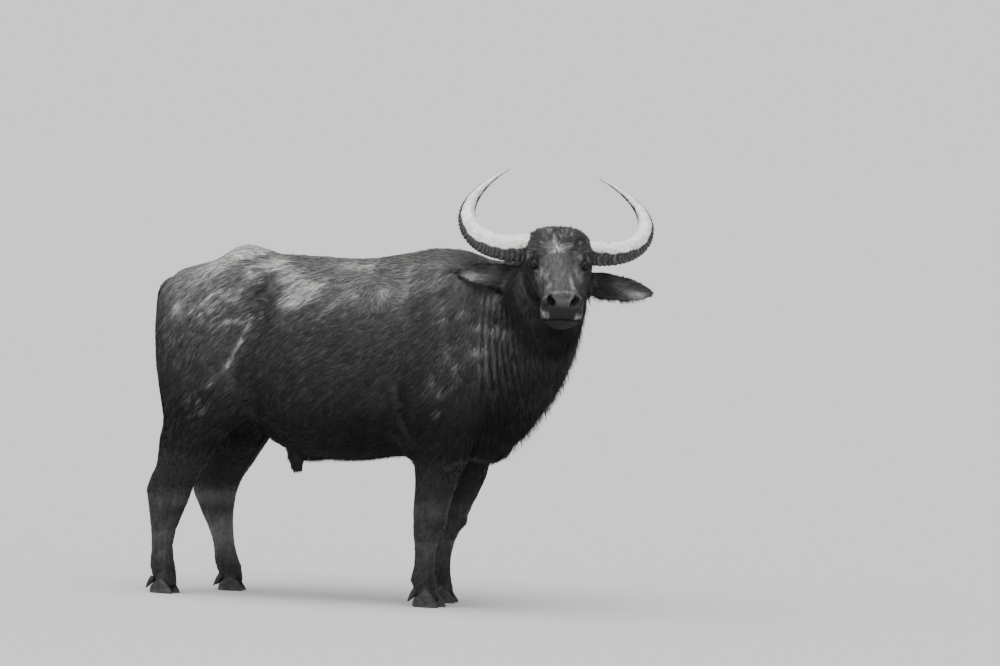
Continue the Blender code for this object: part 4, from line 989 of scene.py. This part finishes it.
def lie_of_coat(places, normals):
    """The way the hair points, along the skin: back and down on the flank, down on neck and legs, out from
    the star on the face, outward on the ears and round a whorl on the back."""
    head, ear, leg, tail, neck = regions(places)
    x, y, z = places.T
    fall = np.radians(38 + 26 * step(-0.70, -1.00, x) + 22 * step(0.15, 0.45, x) - 22 * step(1.50, 1.60, z)
                      - 26 * step(-0.2, -0.9, normals[:, 2]) + 9 * dapple(places, 0.11, 53))
    way = np.stack([-np.cos(fall), 0 * x, -np.sin(fall)], 1)
    spin = np.stack([-(z - 1.456), 0 * x, x - 0.006], 1)
    near = (np.exp(-(((x - 0.006) / 0.10) ** 2 + ((z - 1.456) / 0.08) ** 2))
            * step(0.02, 0.10, np.abs(y - MIDDLE)))
    way = way + near[:, None] * unit(spin) * 1.8
    for share, down in ((neck, (-0.16, 0.0, -1.0)), (leg, (-0.06, 0.0, -1.0)), (tail, (0.06, 0.05, -1.0))):
        way = blend(way, np.array(down), share)
    along, left, above = head_places(places)
    away = unit(NOSE * (along - STAR[0])[:, None] + HEAD_LEFT * (0.75 * (left - STAR[1]))[:, None])
    away = away + NOSE * (0.8 * step(0.03, 0.15, along))[:, None]
    cheek = (np.clip(step(0.09, 0.13, np.abs(left)) + step(-0.02, -0.10, above), 0, 1)
             * step(-0.04, 0.02, along))
    away = away * (1 - 0.85 * cheek)[:, None] + cheek[:, None] * (-0.85 * BROW + 0.25 * NOSE)
    way = blend(way, away, head)
    for side in (-1, 1):
        start, _, run, _, across = ear_frame(side)
        here = ear * (side * (places - EYE_LINE) @ HEAD_LEFT > 0)
        edge = ((places - start) @ across) / 0.06
        way = blend(way, run + across * (0.55 * edge)[:, None], here)
    way = way + 0.13 * np.stack([dapple(places, 0.03, k) for k in (59, 61, 67)], 1)
    return across_from(way, normals)


def scatter(weight, count):
    """Roots spread over the skin by area times weight, with the normal of the skin at each."""
    chance = skin_area * weight
    pick = rng.choice(len(faces), count, p=chance / chance.sum())
    a, b = rng.random((2, count))
    over = a + b > 1
    a, b = np.where(over, 1 - a, a), np.where(over, 1 - b, b)
    share = np.stack([1 - a - b, a, b], 1)
    roots = (skin_corners[pick] * share[..., None]).sum(1)
    return roots, unit((normals[faces[pick]] * share[..., None]).sum(1))


def locks(roots, upward, way, length, width, rings, lift, bow, droop):
    """Blades along a bending line: from just under the skin, out by the lift and back by the bow, with a
    droop towards the ground; a triangle across it that tapers to a point. Returns places lock by lock, and
    one lock's faces."""
    side = unit(np.cross(upward, way))
    run = np.append(np.linspace(0, 1, rings + 1)[:-1] * 0.96, 1.0)[None, :, None]
    length, width, lift, bow, droop = (np.broadcast_to(v, len(roots))[:, None, None]
                                       for v in (length, width, lift, bow, droop))
    line = (roots[:, None] - upward[:, None] * ROOT_DEPTH + way[:, None] * length * run
            + upward[:, None] * length * (lift * run - bow * run ** 2) - UP * length * droop * run ** 2)
    wide = width * np.clip(1 - run, 0, 1) ** 0.65 * np.where(run < 0.01, 0.75, 1.0) / 2
    left, right = line - side[:, None] * wide, line + side[:, None] * wide
    ridge = line + upward[:, None] * wide * 0.9
    body = np.stack([left[:, :-1], right[:, :-1], ridge[:, :-1]], 2).reshape(len(roots), -1, 3)
    points = np.concatenate([body, line[:, -1:]], 1)
    faces = [(0, 2, 1)]
    for k in range(0, 3 * rings - 3, 3):
        for p, q in ((k, k + 1), (k + 1, k + 2), (k + 2, k)):
            faces += [(p, q, q + 3), (p, q + 3, p + 3)]
    faces += [(3 * rings - 3 + p, 3 * rings - 3 + (p + 1) % 3, 3 * rings) for p in range(3)]
    return points, outward(points[0], np.array(faces))


def round_axis(places, start, end):
    """The unwrap of a limb: how far along its axis each place lies and how far round it, from 0 to 1."""
    start, end = np.asarray(start, float), np.asarray(end, float)
    axis = unit(end - start)
    level = unit(np.cross(axis, (0.31, 0.2, 0.93)))
    away = places - start
    share = (away @ axis) / np.linalg.norm(end - start)
    turn = np.arctan2(away @ np.cross(axis, level), away @ level) / (2 * math.pi) + 0.5
    return np.stack([np.clip(share, 0, 1), turn], 1)


def in_tile(place, column, columns):
    """Squeezes an unwrap into one of the columns of a sheet, with a margin."""
    return (place * 0.97 + 0.015 + (column, 0)) / (columns, 1)


def group(roots, upward, unwrap, length, width, rings, lift, bow, droop=0.0, way=None):
    """A group of locks for a piece of coat. Length, width and lift are each one size, or the least size and
    how much chance adds to it, and a third number times which the outcome is taken."""
    def drawn(size):
        """One size, or a size for each root."""
        if not isinstance(size, tuple):
            return size
        least, more, *times = size
        return (least + more * rng.random(len(roots))) * (times[0] if times else 1)

    length, width, lift = drawn(length), drawn(width), drawn(lift)
    return roots, upward, unwrap, lie_of_coat(roots, upward) if way is None else way, (
        length, width, rings, lift, bow, droop)


coat_finish = shaded_finish("coat", HIDE_TINT, 0.55, 0.20)
ROOT_DEPTH = 0.0010
PATCH = 0.003 * np.array([(0.0, 0.0), (1.0, 0.0), (0.5, 1.0)])


def coat_piece(name, groups, vary=0.18):
    """One piece of coat from groups of locks. Every lock takes the hide's shade at its root, varied a
    little, and one small patch of the unwrap there."""
    shapes, shades, patches = [], [], []
    for roots, upward, unwrap, way, sizes in groups:
        points, lock_faces = locks(roots, upward, way, *sizes)
        count, per = points.shape[:2]
        value = paleness(roots, upward) * (1 + vary * (rng.random(count) - 0.5) * 2)
        shapes.append((points.reshape(-1, 3),
                       (np.arange(count)[:, None, None] * per + lock_faces).reshape(-1, 3)))
        shades.append(np.repeat(reflect(np.clip(value, 0.02, 1)), per))
        corner = np.clip(unwrap, 0.001, 0.996)[:, None, None] + PATCH
        patches.append(np.broadcast_to(corner, (count, len(lock_faces), 3, 2)).reshape(-1, 2))
    piece = make_piece(name, *joined(shapes))
    set_shade(piece, "shade", np.concatenate(shades))
    layer = piece.data.uv_layers.new(name="OFBake")
    layer.data.foreach_set("uv", np.concatenate(patches).astype(np.float32).ravel())
    hand_in(piece, coat_finish, "hide")


middle_head, middle_ear, middle_leg, middle_tail, middle_neck = regions(skin_middle)
trunk = (1 - middle_head) * (1 - middle_ear) * (1 - middle_leg) * (1 - middle_tail)
BODY_LOCKS = 16800
scar_gap, _ = line_gap(skin_middle * SIDE_ON, SCAR)
off_scar = np.maximum(step(0.007, 0.012, scar_gap), skin_middle[:, 1] > MIDDLE)
for name, low, high in (("coat_quarters", -2.0, -0.66), ("coat_loin", -0.66, -0.24),
                        ("coat_ribs", -0.24, 0.15), ("coat_shoulder", 0.15, 0.43),
                        ("coat_neck", 0.43, 2.0)):
    weight = trunk * (skin_middle[:, 0] >= low) * (skin_middle[:, 0] < high) * off_scar
    roots, upward = scatter(weight, BODY_LOCKS)
    unwrap = round_axis(roots, (max(low, -1.2), MIDDLE, 1.18), (min(high, 0.92), MIDDLE, 1.18))
    length = 0.030 + 0.026 * rng.random(BODY_LOCKS)
    length = length * (1 + 0.35 * step(0.40, 0.60, roots[:, 0])) * (1 - 0.35 * step(0.75, 0.66, roots[:, 2]))
    stray = np.where(rng.random(BODY_LOCKS) < 0.05, 0.22, 0.12)
    droop = 0.04 + 0.10 * step(-0.5, -0.95, upward[:, 2])
    coat_piece(name, [group(roots, upward, in_tile(unwrap, 0, 1), length, (0.0029, 0.0016), 2,
                            (stray, 0.05), 0.07, droop)])


def triangle_mean(values):
    """The mean of a value over the corners of each skin triangle."""
    return values[faces].mean(1)


# Hair of the face, the shortest and finest, laid out from the star; none grows on nose pad, lids, nostrils
# and lips
pad_bare = (step(0.316, 0.328, along - 0.25 * np.clip(above, -1, 0.05)) * step(0.075, 0.058, np.abs(left))
            * step(-0.098, -0.078, above))
hairy = ((1 - pad_bare) * step(1.12, 1.45, eye_ring) * step(1.05, 1.25, nostril_ring)
         * step(0.004, 0.010, mouth_gap))
poll = triangle_mean(step(0.02, -0.03, along) * step(0.03, 0.06, above))
face = middle_head * (1 - middle_ear) * triangle_mean(hairy)
FACE_LOCKS, POLL_LOCKS, LASHES = 31000, 5200, 26
FACE_AXIS = (in_head(-0.20, 0, -0.07), in_head(0.39, 0, -0.05))
roots, upward = scatter(face * (1 - 0.6 * poll), FACE_LOCKS)
fore, _, high = head_places(roots)
longer = (1 + 1.1 * step(-0.12, -0.22, high)) * (1 + 0.5 * step(0.05, -0.02, fore))
coat_piece("coat_face", [group(roots, upward, round_axis(roots, *FACE_AXIS), (0.0085, 0.006, longer),
                               (0.0013, 0.0007), 1, (0.17, 0.08), 0.07)], vary=0.40)

# Longer tufts on the domed forehead and round the roots of the horns, and the lashes of the upper lids
roots, upward = scatter(face * poll, POLL_LOCKS)
wave = np.stack([dapple(roots, 0.022, k) for k in (71, 73, 79)], 1)
poll_way = across_from(lie_of_coat(roots, upward) + 0.65 * wave, upward)
lash_roots, lash_ways = [], []
for side in (-1, 1):
    gaze, inner, up = eye_axes(side)
    across = np.linspace(-0.0165, 0.0150, LASHES)
    high = 0.0138 * np.sqrt(1 - (across / 0.0228) ** 2)
    out = np.sqrt((EYE_RADIUS + 0.0042) ** 2 - across ** 2 - high ** 2)
    lash_roots.append(EYES[side] + across[:, None] * inner + high[:, None] * up + out[:, None] * gaze)
    lash_ways.append(unit(gaze + 0.15 * up - inner * (across[:, None] * -18)))
lash_roots, lash_ways = np.concatenate(lash_roots), np.concatenate(lash_ways)
coat_piece("coat_forehead", [
    group(roots, upward, in_tile(round_axis(roots, *FACE_AXIS), 0, 2), (0.020, 0.018), (0.0022, 0.0016), 3,
          (0.26, 0.12), 0.17, way=poll_way),
    group(lash_roots, unit(np.cross(lash_ways, NOSE)), in_tile(round_axis(lash_roots, *FACE_AXIS), 1, 2),
          0.013, 0.0009, 2, 0.0, 0.10, way=lash_ways)], vary=0.42)

# Hair of the legs, short and close, a little longer over the hooves
LEG_LOCKS = 15500
roots, upward = scatter(middle_leg * (1 - middle_tail), LEG_LOCKS)
nearest = np.argmin([np.hypot(roots[:, 0] - x, 2 * (roots[:, 1] - y)) for x, y, _, _ in FEET.values()], 0)
leg_unwrap = np.zeros((LEG_LOCKS, 2))
for k, (x, y, _, _) in enumerate(FEET.values()):
    leg_unwrap[nearest == k] = in_tile(round_axis(roots[nearest == k], (x, y, 0.0), (x, y, 0.78)), k, 4)
longer = 1 + 0.5 * step(0.10, 0.05, roots[:, 2])
coat_piece("coat_legs", [group(roots, upward, leg_unwrap, (0.016, 0.010, longer), (0.0016, 0.0008), 2,
                               (0.12, 0.05), 0.07)], vary=0.10)

# Hair of the ears: close on both faces, long and pale within the bowl, a loose fringe on the lower rim
EAR_LOCKS, BOWL_LOCKS, FRINGE_LOCKS = 9000, 900, 900


def on_ear(places, side):
    """True for places on one side of the head, and how far along and across that side's ear they lie."""
    start, _, run, _, across = ear_frame(side)
    away = places - start
    return side * ((places - EYE_LINE) @ HEAD_LEFT) > 0, away @ run, away @ across


def ear_unwrap(places, upward, column):
    """Along the ear and across it: the bowl in the lower half, the back in the upper, ears side by side."""
    tiles = np.zeros((len(places), 2))
    for side in (-1, 1):
        here, out, over = on_ear(places, side)
        flat = np.clip(np.stack([out / 0.36, over / 0.14 + 0.5], 1), 0, 1)
        back = (upward @ ear_frame(side)[3] < 0)[:, None] * np.array((0, 1))
        tiles[here] = (flat[here] * 0.97 + 0.015 + back[here] + (int(side > 0), 0)) / (2, 2)
    return in_tile(tiles, column, 3)


roots, upward = scatter(middle_ear, EAR_LOCKS)
close_hair = group(roots, upward, ear_unwrap(roots, upward, 0), (0.012, 0.008), (0.0016, 0.0008), 2,
                   (0.16, 0.10), 0.07)
bowl, rim = np.zeros(len(faces)), np.zeros(len(faces))
for side in (-1, 1):
    start, end, run, front, across = ear_frame(side)
    here, out, over = on_ear(skin_middle, side)
    share = out / np.linalg.norm(end - start)
    low = over * (1 if across[2] < 0 else -1) / np.interp(share, EAR[:, 0], EAR[:, 1])
    bowl += (middle_ear * here * step(0.2, 0.5, middle_normal @ front) * step(0.10, 0.22, share)
             * step(0.85, 0.55, share) * step(0.85, 0.65, np.abs(low)))
    rim += middle_ear * here * step(0.78, 0.92, low) * step(0.16, 0.30, share) * step(0.98, 0.90, share)
roots, upward = scatter(bowl, BOWL_LOCKS)
bowl_hair = group(roots, upward, ear_unwrap(roots, upward, 1), (0.026, 0.022), (0.0014, 0.0008), 3,
                  (0.35, 0.15), 0.20, 0.12)
roots, upward = scatter(rim, FRINGE_LOCKS)
outer_way = np.zeros((FRINGE_LOCKS, 3))
for side in (-1, 1):
    start, end, run, front, across = ear_frame(side)
    outer_way[on_ear(roots, side)[0]] = unit(across * (1 if across[2] < 0 else -1) + 0.75 * run)
outer_way = unit(outer_way + 0.22 * rng.normal(size=(FRINGE_LOCKS, 3)))
fringe = group(roots, unit(np.cross(outer_way, np.cross(upward, outer_way))), ear_unwrap(roots, upward, 2),
               (0.012, 0.016), (0.0013, 0.0008), 2, 0.0, 0.05, 0.10, outer_way)
coat_piece("coat_ears", [close_hair, bowl_hair, fringe], vary=0.40)

# Hair of the tail, close down its length, and the switch of long hair that hangs from its end
TAIL_LOCKS, SWITCH_LOCKS, SWITCH_END = 4200, 2600, 0.462
TAIL_AXIS = ((-1.12, 0.07, 0.44), (-1.12, 0.07, 1.46))
roots, upward = scatter(middle_tail * triangle_mean(step(0.60, 0.70, skin_points[:, 2])), TAIL_LOCKS)
switch_roots, switch_up = scatter(middle_tail * triangle_mean(step(0.80, 0.70, skin_points[:, 2])),
                                  SWITCH_LOCKS)
_, tail_run = line_gap(switch_roots, TAIL_LINE)
here, later = (np.stack([np.interp(np.clip(tail_run + ahead, 0, 1), np.linspace(0, 1, len(TAIL_LINE)),
                                   TAIL_LINE[:, k])
                         for k in range(3)], 1) for ahead in (0.0, 0.04))
down = np.where((tail_run > 0.95)[:, None], TAIL_LINE[-1] - TAIL_LINE[-2], later - here)
switch_way = unit(unit(down) + 0.10 * rng.normal(size=(SWITCH_LOCKS, 3)))
switch_up = across_from(switch_up, switch_way)
room = np.clip(switch_roots[:, 2] - SWITCH_END, 0.02, 0.14)
coat_piece("coat_tail", [
    group(roots, upward, in_tile(round_axis(roots, *TAIL_AXIS), 0, 2), (0.020, 0.014), (0.0022, 0.0012), 2,
          (0.14, 0.06), 0.08),
    group(switch_roots, switch_up, in_tile(round_axis(switch_roots, *TAIL_AXIS), 1, 2), (0.7, 0.3, room),
          (0.0026, 0.0016), 4, 0.14, 0.10, way=switch_way)])

# Loose fringes: long hair under the throat and down the edge of the neck, and short hair under belly and
# sheath
THROAT_LOCKS, BELLY_LOCKS = 4200, 1500
front_edge = (middle_neck * (1 - middle_ear) * step(-0.15, 0.35, middle_normal @ unit((0.75, -0.2, -0.6)))
              * step(0.70, 0.85, skin_middle[:, 2]) * step(1.50, 1.42, skin_middle[:, 2]))
roots, upward = scatter(front_edge, THROAT_LOCKS)
hang = unit(np.array((0.10, 0.0, -1.0)) + 0.16 * rng.normal(size=(THROAT_LOCKS, 3)))
hang = unit(hang - upward * np.clip((hang * upward).sum(1), -1, 0)[:, None])
belly = (step(-0.75, -0.95, middle_normal[:, 2]) * step(0.07, 0.03, np.abs(skin_middle[:, 1] - MIDDLE))
         * step(-0.52, -0.40, skin_middle[:, 0]) * step(0.10, -0.10, skin_middle[:, 0]))
belly_roots, _ = scatter(belly * trunk, BELLY_LOCKS)
belly_way = unit(np.array((-0.55, 0.0, -1.0)) + 0.20 * rng.normal(size=(BELLY_LOCKS, 3)))
coat_piece("coat_fringes", [
    group(roots, across_from(upward, hang),
          in_tile(round_axis(roots, (0.6, 0.05, 1.6), (0.6, 0.05, 0.65)), 0, 2), (0.034, 0.030),
          (0.0022, 0.0014), 3, 0.16, 0.09, 0.05, hang),
    group(belly_roots, unit(np.cross(belly_way, (0.0, 1.0, 0.0))),
          in_tile(round_axis(belly_roots, (-1.25, MIDDLE, 1.20), (0.95, MIDDLE, 1.20)), 1, 2),
          (0.012, 0.014), (0.0018, 0.0010), 2, 0.0, 0.06, 0.0, belly_way)])


# The floor is a plain pale sheet; the light is soft and comes from above, with an even glow round the
# horizon.
floor_points = np.array([(-90, -90, 0), (90, -90, 0), (90, 90, 0), (-90, 90, 0)], float)
floor = make_piece("floor", floor_points, np.array([(0, 1, 2, 3)]), smooth=False)
pale = bpy.data.materials.new("pale floor")
pale.use_nodes = True
pale.node_tree.nodes["Principled BSDF"].inputs["Base Color"].default_value = (0.54, 0.54, 0.54, 1)
pale.node_tree.nodes["Principled BSDF"].inputs["Roughness"].default_value = 0.95
pale.node_tree.nodes["Principled BSDF"].inputs["Specular IOR Level"].default_value = 0.0
floor.data.materials.append(pale)
HORIZON_GLOW, SKY_GLOW, SUN_POWER = 1.07, 0.42, 5.0
glow = bpy.data.worlds.new("glow")
glow.use_nodes = True
nodes, links = glow.node_tree.nodes, glow.node_tree.links
place = nodes.new("ShaderNodeTexCoord")
parts_of = nodes.new("ShaderNodeSeparateXYZ")
rise = nodes.new("ShaderNodeMapRange")
rise.inputs["From Min"].default_value = 0.04
rise.inputs["From Max"].default_value = 0.45
rise.inputs["To Min"].default_value = HORIZON_GLOW
rise.inputs["To Max"].default_value = SKY_GLOW
links.new(place.outputs["Generated"], parts_of.inputs["Vector"])
links.new(parts_of.outputs["Z"], rise.inputs["Value"])
links.new(rise.outputs["Result"], nodes["Background"].inputs["Color"])
bpy.context.scene.world = glow


def standing(rightward, upward, backward, place):
    """The matrix that sets a thing at a place, with these three ways as its own axes."""
    return Matrix([[float(v) for v in row] + [float(p)] for row, p in
                   zip(np.stack([rightward, upward, backward], 1), place)] + [[0.0, 0.0, 0.0, 1.0]])


lamp = bpy.data.lights.new("soft sky", "SUN")
lamp.energy = SUN_POWER
lamp.angle = math.radians(75)
sky = bpy.data.objects.new("soft sky", lamp)
bpy.context.scene.collection.objects.link(sky)
backward = unit(np.array((-0.10, -0.30, 1.0)))
rightward = unit(np.cross((0.0, 1.0, 0.0), backward))
sky.matrix_world = standing(rightward, np.cross(backward, rightward), backward, (0, 0, 6))


# The camera stands far off, a little above the ground, before the animal's right shoulder, with a long
# lens.
VIEW_TURN, VIEW_RISE, VIEW_ROLL = math.radians(18), math.radians(2.5), math.radians(1.8)
VIEW_DISTANCE, VIEW_LENS = 40.1, 310.3
VIEW_TARGET = np.array((0.4137, 0.3272, 1.2594))
level = np.array((math.cos(VIEW_TURN), math.sin(VIEW_TURN), 0))
toward = np.array((math.sin(VIEW_TURN) * math.cos(VIEW_RISE), -math.cos(VIEW_TURN) * math.cos(VIEW_RISE),
                   math.sin(VIEW_RISE)))
lifted = np.cross(toward, level)
right = level * math.cos(VIEW_ROLL) + lifted * math.sin(VIEW_ROLL)
upright = -level * math.sin(VIEW_ROLL) + lifted * math.cos(VIEW_ROLL)
camera = bpy.data.objects.new("camera", bpy.data.cameras.new("camera"))
camera.data.lens = VIEW_LENS
camera.data.sensor_width = 36
camera.data.clip_end = 400
bpy.context.scene.collection.objects.link(camera)
camera.matrix_world = standing(right, upright, toward, VIEW_TARGET + toward * VIEW_DISTANCE)
bpy.context.scene.camera = camera
